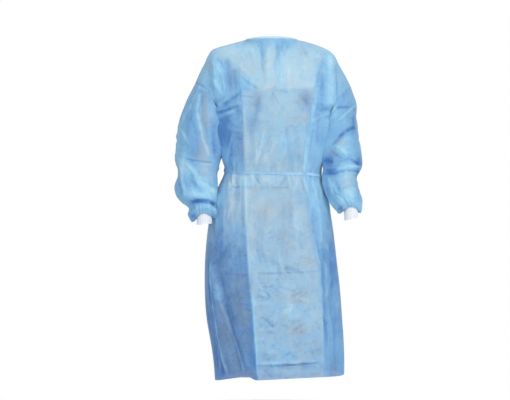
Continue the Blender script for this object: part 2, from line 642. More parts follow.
# spun polyester overlock thread, pale blue: fine, slightly shiny
def makeThread():
    material, tree, shader = newMaterial("spun polyester thread")
    place = addNode(tree, "ShaderNodeTexCoord").outputs["Object"]
    ply = addNode(tree, "ShaderNodeTexNoise", {"Vector": place, "Scale": 700.0, "Detail": 2.0})
    mixed = addNode(tree, "ShaderNodeMix", {0: ply, 6: hexColour("#9cc6e6"),
                                            7: hexColour("#c4e0f2")}, data_type="RGBA")
    setInputs(tree, shader, {"Base Color": mixed.outputs[2], "Roughness": 0.5})
    return material


spunbond = makeNonwoven("point bonded nonwoven")
foldedTape = makeTape("folded nonwoven tape", tape)
seamEdging = makeTape("overlocked nonwoven edge", edging)
ribKnit = makeKnit()
seamThread = makeThread()
print("materials made")


def dress(piece, slot, *nodes):  # the piece rides on the gown's one body and stands for its nodes
    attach(piece, "root")
    if nodes:
        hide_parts(*nodes)
    return piece


# front panel

frontPanel = {
    "wall": 0.0008, "waves": 0.0011, "flat": (0.80, 1.16), "area": 0.72,
    "hemFrom": -1.03, "hemOver": 0.08, "leftCrease": 0.0045, "rightCrease": 0.0040, "creaseReach": 0.026,
    "finerRows": (8.2, 61.7, 111.7), "finerShare": 0.6, "finerReach": 4,  # rows stand closer at the sharp cross lines
    "folds": inUnits(foldUnits,  # the largest folds, as in the cut
        (-106, -95, -99, -275, 45, 30), (-200, -700, -138, -1130, 150, 36, 0, 40),
        (-180, -740, -98, -1130, -120, 30, 0, 40), (190, -540, 212, -1130, -70, 34),
        (20, -500, 30, -1050, -50, 50, 0, 100), (-190, -35, -186, -225, 45, 26), (196, -40, 199, -235, 45, 26),
        (-176, -245, -98, -200, 90, 20, 0, 40), (-176, -282, -100, -245, -80, 20, 0, 40),
        (188, -245, 130, -198, 80, 20, 0, -40), (-17, -12, -18, -160, 55, 15, 0, 20),
        (21, -12, 24, -160, 50, 15, 0, -20), (4, -12, 5, -110, -35, 12), (-62, -290, -46, -445, 55, 24, 0, 20),
        (-50, -450, 45, -505, 55, 24, 0, 60), (85, -300, 95, -445, 50, 22), (-130, -300, -125, -440, 45, 22),
        (140, -460, 165, -700, 60, 24), (-140, -450, -165, -640, 65, 24), (-118, -455, -128, -560, -50, 18),
        (-20, -455, -32, -620, -40, 20), (62, -455, 70, -640, 45, 22), (-210, -860, -176, -1130, -80, 22),
        (85, -800, 100, -1120, -60, 36, 0, 60), (-180, -190, -152, -440, 100, 24), (190, -190, 154, -440, 100, 24)),
    "pressed": inUnits(foldUnits,
        (-34, -8, -34, -117, -25, 9, -16, 10), (-12, -31, -11, -111, 20, 10, 8), (16, -8, 16, -77, -25, 9, -16),
        (16, -74, 16, -137, 20, 6, 14), (35, -8, 29, -51, -20, 9, -14), (-47, -2, -34, -25, -15, 6, -12),
        (94, -21, 117, -67, -15, 10, -8), (111, -28, 127, -80, 15, 9, 6), (55, -80, 51, -192, 15, 8, 10),
        (-73, -31, -53, -94, 15, 10, 5), (78, -48, 70, -124, 12, 10, 5, 10),
        (-152, -54, -135, -184, -50, 20, -16, 30), (-126, -94, -119, -181, -25, 9, -12, 10),
        (-194, -48, -181, -208, 25, 14, 4), (-162, -67, -158, -199, 30, 10, 7),
        (-112, -94, -47, -169, 15, 12, 0, -20), (-96, -139, -47, -172, -20, 8, -10),
        (-104, -168, -103, -220, -20, 6, -22), (-102, -217, -97, -299, -12, 4.5, -16),
        (-102, -195, -65, -198, -15, 5, -22), (-180, -249, -142, -240, -40, 8, -26),
        (-152, -242, -104, -227, -40, 8, -28, -8), (-175, -264, -119, -241, 35, 8, 22, -8),
        (-161, -225, -104, -183, -40, 10, -20, 10), (-176, -223, -142, -197, 30, 8, 15),
        (-152, -219, -119, -204, 20, 7, 8), (-129, -314, -153, -422, 30, 8, 15),
        (-119, -326, -96, -338, -15, 5, -12, -10), (-142, -385, -119, -386, -12, 5, -24),
        (-138, -393, -119, -429, 15, 7, 8), (194, -48, 195, -235, 30, 14, 4), (213, -67, 212, -232, -30, 5, -16),
        (162, -94, 162, -246, -35, 12, -14), (173, -61, 162, -109, -10, 7, -10), (149, -201, 147, -370, -20, 8, -10),
        (175, -233, 179, -370, 20, 12, 5), (156, -217, 189, -249, -20, 8, -10), (-34, -174, 64, -179, -15, 9, -10),
        (57, -176, 132, -172, -15, 8, -8), (-21, -286, -60, -439, 20, 6, 16, -10), (18, -332, -42, -436, 20, 7, 11),
        (-1, -306, -50, -429, -15, 7, -8), (41, -267, 57, -439, -15, 10, -8), (-44, -192, -63, -299, -20, 12, -10),
        (90, -195, 119, -227, -15, 8, -10), (-79, -299, -83, -429, 12, 8, 5), (67, -338, 77, -439, 12, 9, 5),
        (126, -240, 116, -338, -10, 6, -10), (-60, -452, -36, -488, -25, 6, -27), (51, -455, 21, -488, -25, 7, -27),
        (-138, -489, -102, -491, -14, 5, -35), (-102, -492, -63, -493, -12, 5, -16),
        (-5, -494, 54, -492, -16, 6, -24), (-50, -493, -8, -494, -10, 5, -11), (100, -455, 118, -517, 35, 8, 24, 10),
        (90, -459, 103, -507, -15, 7, -14), (-125, -442, -119, -488, -15, 6, -14),
        (-148, -448, -152, -625, -30, 10, -10), (156, -468, 179, -530, -20, 7, -16), (132, -462, 139, -520, 15, 8, 8),
        (-53, -680, -34, -745, -16, 6, -19, 10), (-47, -780, 57, -780, 15, 6, 7), (-18, -660, 12, -650, -12, 5, -14),
        (8, -663, 38, -657, -12, 5, -12), (-14, -641, -1, -628, -10, 5, -11), (-50, -820, -21, -829, -15, 5, -20),
        (-31, -826, -1, -852, -22, 6, -30, -12), (-40, -815, 2, -816, -13, 5, -20, -8),
        (-53, -842, -8, -855, -15, 5, -18, 10), (-14, -810, 18, -829, -12, 5, -14),
        (-44, -910, -14, -923, -15, 5, -20), (-24, -920, 5, -946, -22, 6, -27, -12),
        (-50, -933, -18, -952, -14, 5, -16, 10), (-34, -901, 2, -913, -12, 5, -14, -8),
        (-14, -956, 21, -969, -12, 5, -14), (41, -819, 80, -832, -13, 5, -16, -8),
        (54, -849, 103, -826, -15, 5, -19, 10), (80, -855, 119, -830, -12, 5, -14), (44, -868, 90, -862, -10, 5, -11),
        (44, -923, 77, -930, -12, 5, -14), (64, -956, 109, -930, -15, 5, -19, 10), (77, -969, 116, -950, -12, 5, -12),
        (28, -1043, 64, -1021, -15, 5, -16), (60, -1034, 100, -1018, -13, 5, -14),
        (-34, -1044, 12, -1050, -14, 5, -18, -8), (-34, -988, -21, -1005, -12, 5, -16),
        (109, -1002, 149, -987, -13, 5, -16), (113, -1031, 152, -1020, -14, 5, -16),
        (116, -1054, 149, -1042, -12, 5, -14), (-8, -550, -27, -657, 12, 10, 5, 10),
        (73, -533, 80, -735, 12, 11, 5, -10), (38, -559, 28, -637, -10, 9, -5), (-47, -550, -44, -663, -10, 10, -5),
        (38, -1065, 159, -1060, -14, 4.5, -15, 4), (-50, -1060, 57, -1056, 20, 6, 12),
        (-34, -1076, 5, -1105, -15, 7, -14), (34, -1073, 18, -1112, -12, 7, -11), (100, -1067, 90, -1112, -12, 7, -8),
        (64, -1073, 57, -1112, 12, 7, 6), (-88, -442, -84, -638, 20, 5, 22), (-83, -615, -70, -826, 20, 5, 14),
        (-68, -794, -47, -1115, 25, 5, 20), (-73, -735, -52, -989, -20, 5, -11, 20),
        (-98, -455, -96, -638, -15, 5, -19), (113, -511, 116, -592, -10, 6, -7), (136, -664, 154, -749, 20, 6, 14),
        (157, -755, 157, -860, 15, 5, 10), (159, -844, 164, -1115, 18, 5, 14), (169, -778, 170, -991, -20, 6, -14),
        (177, -723, 179, -834, 25, 7, 14), (182, -821, 165, -870, 20, 6, 14), (192, -664, 206, -861, -25, 9, -10),
        (129, -546, 132, -651, -15, 8, -11), (149, -520, 156, -664, 15, 9, 7),
        (142, -657, 156, -736, -15, 6, -11, 10), (185, -861, 189, -1031, 15, 9, 6, 10),
        (209, -861, 212, -1025, -15, 8, -11), (175, -919, 179, -1030, -12, 7, -8), (199, -1008, 202, -1097, 15, 8, 6),
        (165, -991, 172, -1095, 12, 6, 5), (-200, -724, -190, -862, 40, 5, 34, 6),
        (-192, -842, -165, -1008, 45, 5, 34, 10), (-169, -979, -142, -1122, 45, 5.5, 36, -6),
        (-191, -757, -168, -868, 25, 6, 16, -5), (-175, -842, -132, -978, 30, 6, 22),
        (-138, -952, -91, -1107, 30, 6, 22), (-208, -737, -198, -882, -40, 8, -22),
        (-201, -862, -171, -1032, -40, 8, -22), (-181, -1009, -155, -1119, -40, 8, -19),
        (-158, -871, -119, -990, -20, 8, -16), (-125, -974, -79, -1106, -20, 9, -12),
        (-142, -651, -125, -736, 15, 8, 5), (-112, -677, -99, -781, -15, 9, -5), (-119, -808, -106, -892, -15, 9, -6),
        (-93, -859, -83, -957, 13, 8, 5), (-175, -501, -185, -632, 30, 9, 12), (-161, -550, -168, -697, -20, 9, -8),
        (-125, -566, -115, -657, -13, 7, -8), (-135, -517, -132, -615, 12, 9, 5), (-195, -698, -165, -736, 15, 8, 5),
        (-50, -358, -59, -432, 15, 4, 16), (-99, -201, -99, -299, -10, 4, -14), (-98, -286, -96, -442, -10, 4, -16),
        (-90, -208, -87, -436, 10, 5, 8), (132, -194, 115, -292, -10, 3.5, -8), (115, -286, 92, -442, -10, 3.5, -10),
        (150, -187, 134, -286, -10, 3.5, -12), (134, -279, 111, -445, -10, 3.5, -12),
        (-109, -122, -83, -152, -15, 6, -14, -10), (-89, -149, -47, -171, -15, 6, -12, -10),
        (-221, -836, -206, -994, -20, 6, -11), (-84, -664, -75, -813, 15, 5, 10),
        (-34, -1068, 162, -1061, -15, 4, -19), (104, -25, 127, -84, -15, 7, -12), (55, -15, 38, -61, -20, 8, -12),
        (-48, -8, -30, -80, -20, 7, -8), (-37, -80, -27, -130, -10, 7, -7), (-165, -773, -73, -777, -12, 5, -12),
        (-53, -855, -14, -860, -13, 4, -14), (2, -839, 34, -848, -12, 4, -12), (-31, -969, 8, -959, -13, 4, -14),
        (25, -936, 60, -949, -12, 4, -12), (90, -898, 129, -885, -12, 4, -12), (-8, -1008, 38, -1017, -12, 4, -12),
        (77, -992, 119, -1009, -12, 4, -13), (41, -680, 86, -699, -12, 4, -12), (-27, -618, 8, -605, -12, 4, -12),
        (57, -550, 100, -537, -10, 4, -10), (-34, -706, -1, -693, -12, 4, -12), (77, -654, 113, -638, -12, 4, -12),
        (-47, -559, -14, -572, -10, 4, -10), (86, -715, 126, -729, -12, 4, -12), (12, -891, 51, -878, -12, 4, -12),
        (-60, -1067, 25, -1065, -14, 4.5, -15), (-11, -1066, 80, -1065, -14, 4.5, -15, 3),
        (44, -1065, 129, -1065, -4, 4.5, -5, -3), (93, -1065, 172, -1065, -4, 4.5, -5),
        (-60, -771, 21, -770, -14, 4.5, -15, 3), (-21, -771, 67, -769, -14, 4.5, -15, -3),
        (38, -769, 109, -767, -14, 4.5, -15, 3), (83, -768, 165, -764, -14, 4.5, -15),
        (-34, -816, 8, -835, -12, 4, -14, -5), (-21, -839, 5, -865, -12, 4, -14, 5),
        (-1, -803, 34, -819, -10, 4, -12), (-44, -871, -5, -887, -10, 4, -12, 4),
        (-34, -914, 12, -930, -12, 4, -14, -5), (-8, -936, 28, -959, -12, 4, -14, 4),
        (60, -826, 106, -816, -10, 4, -12, 4), (77, -855, 116, -869, -10, 4, -12),
        (57, -933, 100, -921, -10, 4, -12, 4), (86, -956, 126, -973, -10, 4, -12),
        (34, -1027, 83, -1044, -10, 4, -12), (-34, -1027, 5, -1040, -10, 4, -11),
        (100, -1028, 142, -1016, -10, 4, -11), (-34, -650, 5, -634, -10, 4, -10), (31, -595, 70, -579, -10, 4, -10),
        (90, -605, 129, -625, -10, 4, -10), (-14, -735, 25, -722, -10, 4, -10), (57, -735, 103, -748, -10, 4, -10)),
    # x, z, spreadX, spreadZ, paler or darker, greyer or bluer
    "tones": inUnits(patchUnits,
        (-165, -41, 40, 20, 5, 10), (-73, -31, 27, 13, 10, -20), (52, -20, 23, 13, -16, -45),
        (-34, -15, 20, 13, -8, -10), (-106, -28, 20, 13, 0, -20), (-135, -141, 20, 47, -10, 35),
        (-214, -94, 17, 27, -12, 50), (-165, -179, 30, 33, 4, -20), (-145, -213, 20, 13, -10, -10),
        (-155, -314, 27, 47, -21, -50), (-178, -261, 13, 20, 6, -20), (-119, -266, 20, 20, 12, 10),
        (-112, -370, 23, 47, -6, 50), (-145, -370, 17, 40, 5, -20), (-47, -218, 17, 40, -22, 10),
        (109, -201, 20, 20, -24, 15), (-73, -289, 27, 33, -8, 10), (-34, -296, 10, 23, 4, 20),
        (-24, -387, 23, 33, 3, 25), (103, -257, 20, 27, -3, 20), (41, -215, 40, 27, 5), (34, -355, 20, 33, 4, -30),
        (83, -299, 27, 33, -2, -20), (67, -403, 27, 30, -4, -30), (41, -420, 27, 13, -6, 20),
        (172, -233, 27, 27, -4, -30), (162, -321, 27, 53, 0, -30), (222, -133, 13, 20, 8, 20),
        (246, -178, 17, 23, -5, -20), (-8, -468, 37, 17, 12, -5), (-83, -475, 13, 27, 14, -30),
        (-119, -468, 20, 20, 5, 30), (-129, -533, 27, 67, 3, 30), (-165, -517, 13, 47, 6, -40),
        (-178, -615, 13, 53, -10, -10), (-27, -576, 23, 23, -5, 35), (-53, -501, 27, 17, 0, 30),
        (31, -650, 27, 20, -8, 20), (28, -598, 17, 17, 4, -20), (90, -615, 20, 53, 5), (122, -735, 27, 17, -2, 30),
        (-66, -680, 10, 83, 5, 20), (41, -809, 33, 20, 5, -10), (-21, -836, 27, 20, -8, -10),
        (83, -846, 30, 23, -6, 50), (-21, -930, 27, 23, -6, -10), (86, -950, 30, 20, -6, 50),
        (57, -884, 47, 20, 8, -20), (122, -924, 20, 27, 5, -20), (8, -1004, 40, 27, 2, -15),
        (100, -1044, 17, 20, -3, 30), (149, -1016, 17, 33, -6, 10), (-24, -1040, 27, 17, -6),
        (-112, -860, 17, 40, -4, 45), (-93, -924, 17, 40, 0, 45), (-96, -745, 20, 33, 5, -10),
        (-106, -794, 17, 20, -3, 30), (-191, -862, 17, 67, -6, -10), (-185, -1032, 17, 53, -4),
        (-73, -1038, 17, 53, -2, -20), (189, -1008, 20, 27, 6, -20), (209, -697, 13, 47, -8, 10),
        (182, -746, 10, 40, 8, -20), (136, -501, 20, 33, 6, -10), (159, -550, 20, 40, 5, -20),
        (-34, -44, 13, 43, -7, -50), (24, -48, 13, 43, -10, -50), (16, -100, 10, 23, -2, -60),
        (-221, -105, 20, 43, 12, -10), (239, -112, 20, 40, 6, -10), (-73, -143, 23, 17, -4, -30),
        (-47, -208, 20, 20, -5), (109, -201, 27, 27, -7, 15), (-66, -289, 20, 40, -8), (83, -306, 27, 40, -7, 5),
        (73, -387, 27, 27, -17, -5), (162, -158, 13, 27, -9, -10), (-122, -484, 20, 20, 15),
        (-221, -122, 23, 33, 5, 10), (162, -582, 20, 33, 5, 20), (195, -828, 20, 40, -5, 10),
        (202, -1090, 20, 27, -9, 30), (222, -927, 13, 67, -5, 10), (41, -988, 47, 27, -1, 15),
        (-155, -959, 13, 33, 0, 20), (-86, -1022, 13, 47, 3, 25), (-185, -1059, 13, 40, -2, 10),
        (104, -41, 30, 27, -7, 10), (38, -35, 13, 17, -5, 20), (-7, -41, 13, 27, -3, 10), (-73, -41, 27, 20, 5),
        (-34, -74, 17, 27, 6, 10), (25, -137, 10, 27, 0, -40), (-165, -189, 27, 20, 2, -40),
        (-125, -403, 17, 27, 3, -25), (-158, -268, 20, 27, -14, -40), (-190, -244, 13, 30, 10, -20),
        (199, -248, 13, 30, 8, -20), (-138, -370, 17, 27, -4, -10), (-221, -122, 27, 40, 2, -30),
        (-66, -289, 17, 33, -13), (109, -201, 27, 20, -4), (41, -163, 47, 13, -4), (156, -337, 13, 33, -4, -20),
        (8, -696, 40, 27, -5, -5), (-165, -189, 23, 20, -2, -40), (162, -582, 20, 30, 2, -40),
        (156, -582, 17, 33, 3, -20), (-115, -484, 20, 20, 5, -20), (-221, -122, 23, 37, 8, -10),
        (-155, -108, 23, 27, 5, -10), (-155, -959, 13, 30, -9), (172, -239, 17, 33, -7), (156, -337, 17, 47, -8),
        (129, -403, 13, 27, -6), (139, -501, 17, 27, -8), (162, -582, 17, 33, -7), (-152, -298, 17, 30, -3),
        (90, -442, 47, 17, -3), (195, -245, 10, 27, 8), (202, -1090, 17, 33, -3, 20), (162, -468, 7, 53, 16),
        (195, -229, 5, 13, 18), (160, -468, 10, 60, 22), (192, -229, 7, 15, 12), (195, -1097, 23, 30, -2, 15),
        (209, -746, 13, 40, -16), (209, -1042, 13, 33, -12), (149, -462, 13, 27, 12, -30), (32, -8, 17, 10, -13, 15),
        (149, -1023, 20, 27, -6), (-57, -803, 23, 23, -9, 10), (149, -279, 17, 47, -7), (-175, -363, 13, 20, -10),
        (90, -524, 27, 30, -9, -22), (-27, -423, 27, 13, -9, -18), (-171, -550, 10, 33, -10, -25),
        (-86, -217, 17, 20, -8, -20), (90, -247, 23, 33, -6), (-34, -306, 33, 30, -6), (34, -335, 27, 27, -6, -10),
        (149, -481, 13, 20, 8, -20), (-175, -245, 10, 17, 7, -25), (-175, -619, 13, 27, -8)),
    # xTop, zTop, xFoot, zFoot, half width, softness, paler or darker, greyer or bluer
    "bands": inUnits(bandUnits,
        (195, -35, 194, -239, 13.3, 6, 16, -50), (-183, -61, -176, -209, 16.7, 8.7, 8, -45),
        (141, -181, 124, -289, 7.3, 4.3, 12, -35), (125, -279, 101, -455, 7.7, 4.3, 14, -40),
        (-68, -813, -46, -1119, 5, 4.3, 7, -50), (-83, -475, -78, -664, 4.7, 4, 5, -20),
        (-192, -737, -171, -868, 10, 5.3, 12), (-173, -855, -145, -978, 14, 6, -4, 30),
        (-148, -965, -117, -1121, 20, 6.7, -5, 35), (-212, -718, -200, -895, 10, 5.3, -4, -35),
        (-200, -882, -170, -1123, 15.3, 6, -4, -35), (-47, -1058, 156, -1051, 3, 2.7, 6, -10),
        (-194, -198, -180, -336, 8.7, 8.7, 8, -30), (-181, -317, -158, -448, 8.7, 8.7, 4, -20),
        (204, -225, 189, -324, 8.7, 8.7, 4, -20), (190, -304, 160, -448, 8.7, 8.7, 2, -20),
        (-170, -471, -180, -556, 10.7, 10, 28, -30), (162, -455, 192, -612, 11.7, 10, 16, -30),
        (-180, -546, -190, -632, 10, 10, 8, -20), (-175, -619, -175, -829, 10, 10, -15),
        (-119, -1100, 169, -1100, 10, 8.3, -10, 25), (119, -201, 119, -377, 10, 10, -13),
        (-8, -1066, 162, -1066, 6.7, 6.7, -6, 10)),
    # height, where the middle begins and how softly, where it ends and how softly
    "paleSpan": inUnits(0.001,
        (-14, -190, 39, 174, 26), (-53, -164, 29.2, 161, 26), (-85, -128, 22.7, 148, 19.5),
        (-111, -105, 19.5, 141, 13), (-144, -88, 30, 141, 9.7), (-170, -66, 32, 141, 9.7),
        (-192, -96, 16.3, 137, 9.7), (-247, -99, 11.4, 127, 9.7), (-345, -94, 9.7, 111, 9.7),
        (-429, -91, 8.1, 101, 9.7), (-455, -94, 5.9, 102, 9.7), (-517, -93, 5.9, 112, 11.4),
        (-582, -91, 5.9, 115, 13), (-663, -84, 5.9, 132, 16.3), (-735, -78, 5.9, 148, 13), (-767, -75, 5.2, 154, 8.1),
        (-865, -67, 4.5, 158, 7.2), (-965, -58, 4.5, 161, 6.5), (-1121, -46, 4.5, 163, 6.5)),
    # height, how pale, how grey: in the middle, and beside it on the left and on the right
    "middle": inUnits(sideUnits,
        (-1, 72, 20), (-33, 80, 40), (-79, 86, 50), (-163, 88, 60), (-183, 72, 50), (-241, 72, 50), (-322, 74, 50),
        (-420, 70, 60), (-468, 72, 60), (-582, 68, 70), (-679, 64, 60), (-748, 66, 50), (-858, 64, 55),
        (-988, 58, 48), (-1060, 57, 40), (-1069, 46, 40), (-1118, 52, 40)),
    "leftSide": inUnits(sideUnits,
        (-30, 70, 30), (-111, 60, 10), (-183, 56, 0), (-247, 48, 0), (-306, 34, 0), (-377, 40, 5), (-429, 50, 10),
        (-462, 68, 40), (-566, 60, 45), (-647, 44, 30), (-702, 28, 30), (-793, 25, 36), (-923, 20, 32),
        (-1118, 18, 28)),
    "rightSide": inUnits(sideUnits,
        (-30, 76, 30), (-111, 62, 0), (-176, 62, 0), (-247, 62, 0), (-355, 62, 0), (-436, 62, 10), (-507, 64, 10),
        (-592, 54, 10), (-683, 36, 5), (-744, 35, 0), (-832, 40, 0), (-1004, 43, 0), (-1118, 40, 0)),
    # height of the line, its slope, x from, x to, height of the crease, reach
    "crossCreases": inUnits(creaseUnits,
        (-196, 2, -105, 120, 16, 16), (-491, 1.5, -140, 30, 22, 16), (-767, 0, -60, 158, 22, 20),
        (-1062, 0.5, -60, 165, 14, 22), (-767, 6, -215, -80, 18, 16), (-350, 2, -90, 110, 14, 14),
        (-630, -2, -80, 140, 14, 16), (-915, 2, -60, 160, 16, 16)),
    # smaller folds: x, z, spreadX, spreadZ, count, turn, turnSpread, length, height, reach
    "patches": inUnits(scatterUnits,
        (0, -470, 150, 15, 30, 0, 16, 70, 26, 9), (0, -425, 140, 12, 24, 0, 14, 55, 24, 8),
        (20, -830, 90, 70, 26, 25, 60, 60, 33, 10), (30, -940, 90, 50, 18, -30, 60, 55, 31, 10),
        (20, -660, 100, 90, 20, 15, 50, 80, 30, 11), (30, -1045, 110, 50, 16, 50, 60, 50, 28, 10),
        (10, -350, 90, 60, 18, -20, 50, 60, 20, 10), (20, -210, 100, 60, 16, 10, 45, 60, 18, 10),
        (-165, -900, 50, 180, 18, 6, 25, 110, 20, 11), (195, -880, 35, 180, 14, -4, 18, 120, 30, 11),
        (-150, -600, 50, 100, 14, -10, 20, 90, 30, 11), (160, -620, 35, 100, 12, 10, 20, 90, 28, 11),
        (-150, -260, 40, 50, 12, 70, 25, 60, 30, 9), (160, -260, 35, 50, 12, -65, 25, 55, 30, 9),
        (-170, -120, 40, 60, 10, 15, 25, 70, 28, 10), (170, -120, 40, 60, 10, -15, 25, 70, 28, 10)),
    "hem": inUnits(0.001,  # x, lift of the hem
        (-200, 0), (-155, 4), (-105, 6.5), (-72, 4), (-58, -5), (-44, -7), (0, -6), (60, -3), (140, 0), (200, 0)),
}


def crossCreases(x, z, table):
    raised = np.zeros(x.shape)
    for height, slope, xFrom, xTo, lift, reach in table:
        line = ((xFrom - 0.02, height), (xTo + 0.02, height + slope * (xTo - xFrom)))
        raised += creaseHeight(x, z, line, lift, reach)
    return raised


def offArmholes(grid, reach):
    seams = np.vstack([armholeLoop(gown["armholeLeft"]), armholeLoop(gown["armholeRight"])])
    nearest = np.min([np.linalg.norm(grid - point, axis=-1) for point in seams], axis=0)
    return ease(nearest / reach)


seamFade = {"draws": 3.0, "columns": 1.6, "rows": 2.0, "armhole": 0.026}  # in plain columns and rows, and metres


def snapEdge(grid, column, edge, start, steps):  # draws one side of a panel onto the common armhole line
    off = np.abs(np.arange(grid.shape[1]) - column % grid.shape[1])
    share = np.clip(1 - off / (seamFade["draws"] * steps), 0, 1) ** 2
    grid[start:] += (edge - grid[start:, column])[:, None] * share[None, :, None]


def insideFade(grid, steps):  # 1 inside a panel and 0 on its seams
    rows, columns = grid.shape[:2]
    place = np.arange(columns, dtype=float)
    across = ease(np.minimum(place, place[::-1]) / (seamFade["columns"] * steps[1]))
    fromTop = ease(np.arange(rows)[::-1] / (seamFade["rows"] * steps[0]))
    return across[None, :] * fromTop[:, None] * offArmholes(grid, seamFade["armhole"])


def readTable(table, at, columns):  # columns of a table that starts at the top, read at heights
    table = table[::-1]
    return [np.interp(at, table[:, 0], table[:, column]) for column in columns]


rowSteps, columnSteps = grids["frontFine"]
frontPlain = refine(plainFront(), rowSteps, columnSteps)
rows = np.arange(len(frontPlain), dtype=float)
for place in frontPanel["finerRows"]:
    off = rows - place
    rows = rows - frontPanel["finerShare"] * off * np.exp(-(off / frontPanel["finerReach"]) ** 2)
rows[0] = 0.0
frontPlain = between(frontPlain, rows)
frontPlain[..., 1] = np.minimum(frontPlain[..., 1], gown["seamY"])
yokeStart = (grids["skirtRows"] + grids["torsoRows"]) * rowSteps
halfLoop = gown["yoke"]["rows"] * rowSteps
for column, armhole in ((0, "armholeLeft"), (-1, "armholeRight")):
    snapEdge(frontPlain, column, armholeFine(gown[armhole], rowSteps)[:halfLoop + 1], yokeStart, columnSteps)
x, y, z = (frontPlain[..., axis] for axis in range(3))
raised, _ = foldHeight(x, z, frontPanel["folds"])
creases = np.vstack([gown["packingCreases"], gown["creaseTop"]])
low = 0.55 + 0.75 * ease((-0.45 - z) / 0.5)  # the packing creases stand out most on the skirt
for column, name in ((1, "leftCrease"), (2, "rightCrease")):
    raised += low * creaseHeight(z, x, creases[:, [0, column]], frontPanel[name], frontPanel["creaseReach"])
raised += crossCreases(x, z, frontPanel["crossCreases"]) + slowWaves(x, y, z, frontPanel["waves"], 5)
pressed, pressedLight = foldHeight(x, z, frontPanel["pressed"])
small, smallLight = foldHeight(x, z, scatteredFolds(frontPanel["patches"], 11))
raised += pressed + small
frontGrid = frontPlain + gridNormals(frontPlain) * (raised * insideFade(frontPlain, grids["frontFine"]))[..., None]
hem = frontPanel["hem"]
frontGrid[..., 2] += np.interp(x, hem[:, 0], hem[:, 1]) * ease((frontPanel["hemFrom"] - z) / frontPanel["hemOver"])

# how pale and how grey the thin cloth looks, with a clear change along the packing creases
fromLeft, softLeft, toRight, softRight = readTable(frontPanel["paleSpan"], z, (1, 2, 3, 4))
inMiddle = ease((x - fromLeft) / softLeft / 2 + 0.5) * ease((toRight - x) / softRight / 2 + 0.5)
middle, atLeft, atRight = (readTable(frontPanel[name], z, (1, 2)) for name in ("middle", "leftSide", "rightSide"))
onLeft = x < (fromLeft + toRight) / 2
frontTone, frontGrey = (inMiddle * inner + (1 - inMiddle) * np.where(onLeft, left, right)
                        for inner, left, right in zip(middle, atLeft, atRight))
softTone, softGrey = softTones(x, z, frontPanel["tones"], frontPanel["bands"])
front = shellMesh("front_panel_cloth", frontGrid, frontGrid - gridNormals(frontGrid) * frontPanel["wall"], spunbond,
                  tone=frontTone + softTone + pressedLight + smallLight, grey=frontGrey + softGrey)
dress(front, "nonwoven", "front_panel")
print("front panel made")

# back panels: one common surface, from which each panel takes its part

backPanels = {
    "wall": 0.0008, "waves": 0.0012, "flat": (0.42, 1.17), "area": 0.42,
    "overlap": 0.060, "layerStep": 0.0022, "fade": 0.030, "tone": 0.52, "paler": 0.16, "grey": 0.35,
    "folds": inUnits(foldUnits,
        (-120, -450, -140, -1140, 150, 38, 0, 40), (-70, -450, -85, -1140, -90, 32),
        (-165, -500, -190, -1140, -90, 30), (85, -450, 110, -1140, 140, 38, 0, -40), (135, -450, 165, -1140, -90, 32),
        (165, -500, 205, -1140, 80, 30), (-176, -250, -100, -195, 90, 24), (186, -255, 100, -190, 90, 24),
        (-90, -290, -75, -445, 70, 26), (100, -300, 80, -445, 70, 26), (-186, -40, -184, -220, 70, 26),
        (194, -45, 196, -235, 70, 26), (-105, -60, -100, -330, 45, 24, 0, 40), (112, -60, 106, -330, 45, 24, 0, -40),
        (-95, -700, -105, -1140, 60, 20), (192, -700, 222, -1140, -70, 22)),
    "crossCreases": inUnits(creaseUnits,
        (-200, 1, -150, 150, 16, 16), (-490, 1, -160, 160, 20, 16), (-765, 0, -200, 200, 26, 20),
        (-1060, 1, -180, 200, 26, 20), (-350, 0, -150, 150, 14, 14), (-625, 0, -180, 180, 14, 16),
        (-910, 0, -200, 200, 16, 16)),
    "patches": inUnits(scatterUnits,
        (0, -475, 150, 15, 28, 0, 16, 70, 26, 9), (0, -420, 140, 15, 24, 0, 14, 55, 24, 8),
        (-130, -850, 70, 200, 24, 5, 30, 90, 28, 11), (140, -850, 70, 200, 24, -5, 30, 90, 28, 11),
        (0, -820, 90, 250, 20, 15, 60, 55, 14, 10), (-110, -260, 60, 80, 16, 60, 35, 60, 26, 10),
        (120, -260, 60, 80, 16, -60, 35, 60, 26, 10), (0, -200, 110, 80, 16, 10, 50, 60, 16, 10)),
}

rowSteps, columnSteps = grids["backFine"]
backPlain = refine(plainBack(), rowSteps, columnSteps)
backPlain[..., 1] = np.maximum(backPlain[..., 1], gown["seamY"])
backYoke = (grids["backSkirtRows"] + grids["backTorsoRows"]) * rowSteps
halfBack = gown["yoke"]["rows"] * rowSteps
for column, armhole in ((0, "armholeLeft"), (-1, "armholeRight")):
    loop = armholeFine(gown[armhole], rowSteps)
    snapEdge(backPlain, column, loop[-np.arange(halfBack + 1)], backYoke, columnSteps)
x, y, z = (backPlain[..., axis] for axis in range(3))
mirrored = frontPanel["pressed"] * (-1, 1, -1, 1, 1, 1, 1, -1)  # pressed in layers, so the back has them too
scattered = scatteredFolds(backPanels["patches"], 23)
large, small, pressed = (foldHeight(x, z, folds)[0] for folds in (backPanels["folds"], scattered, mirrored))
past = np.abs(x) - backPanels["overlap"]
# where the panels overlap they lie flat on each other
inOverlap = 1 - 0.85 * (1 - ease((past - 0.002) / backPanels["fade"]))
raised = large * ease((past - 0.006) / backPanels["fade"])
raised += (crossCreases(x, z, backPanels["crossCreases"]) + slowWaves(x, y, z, backPanels["waves"], 8)
           + small + 0.9 * pressed) * inOverlap
backSurface = backPlain - gridNormals(backPlain) * (raised * insideFade(backPlain, grids["backFine"]))[..., None]
backOut = -gridNormals(backSurface)


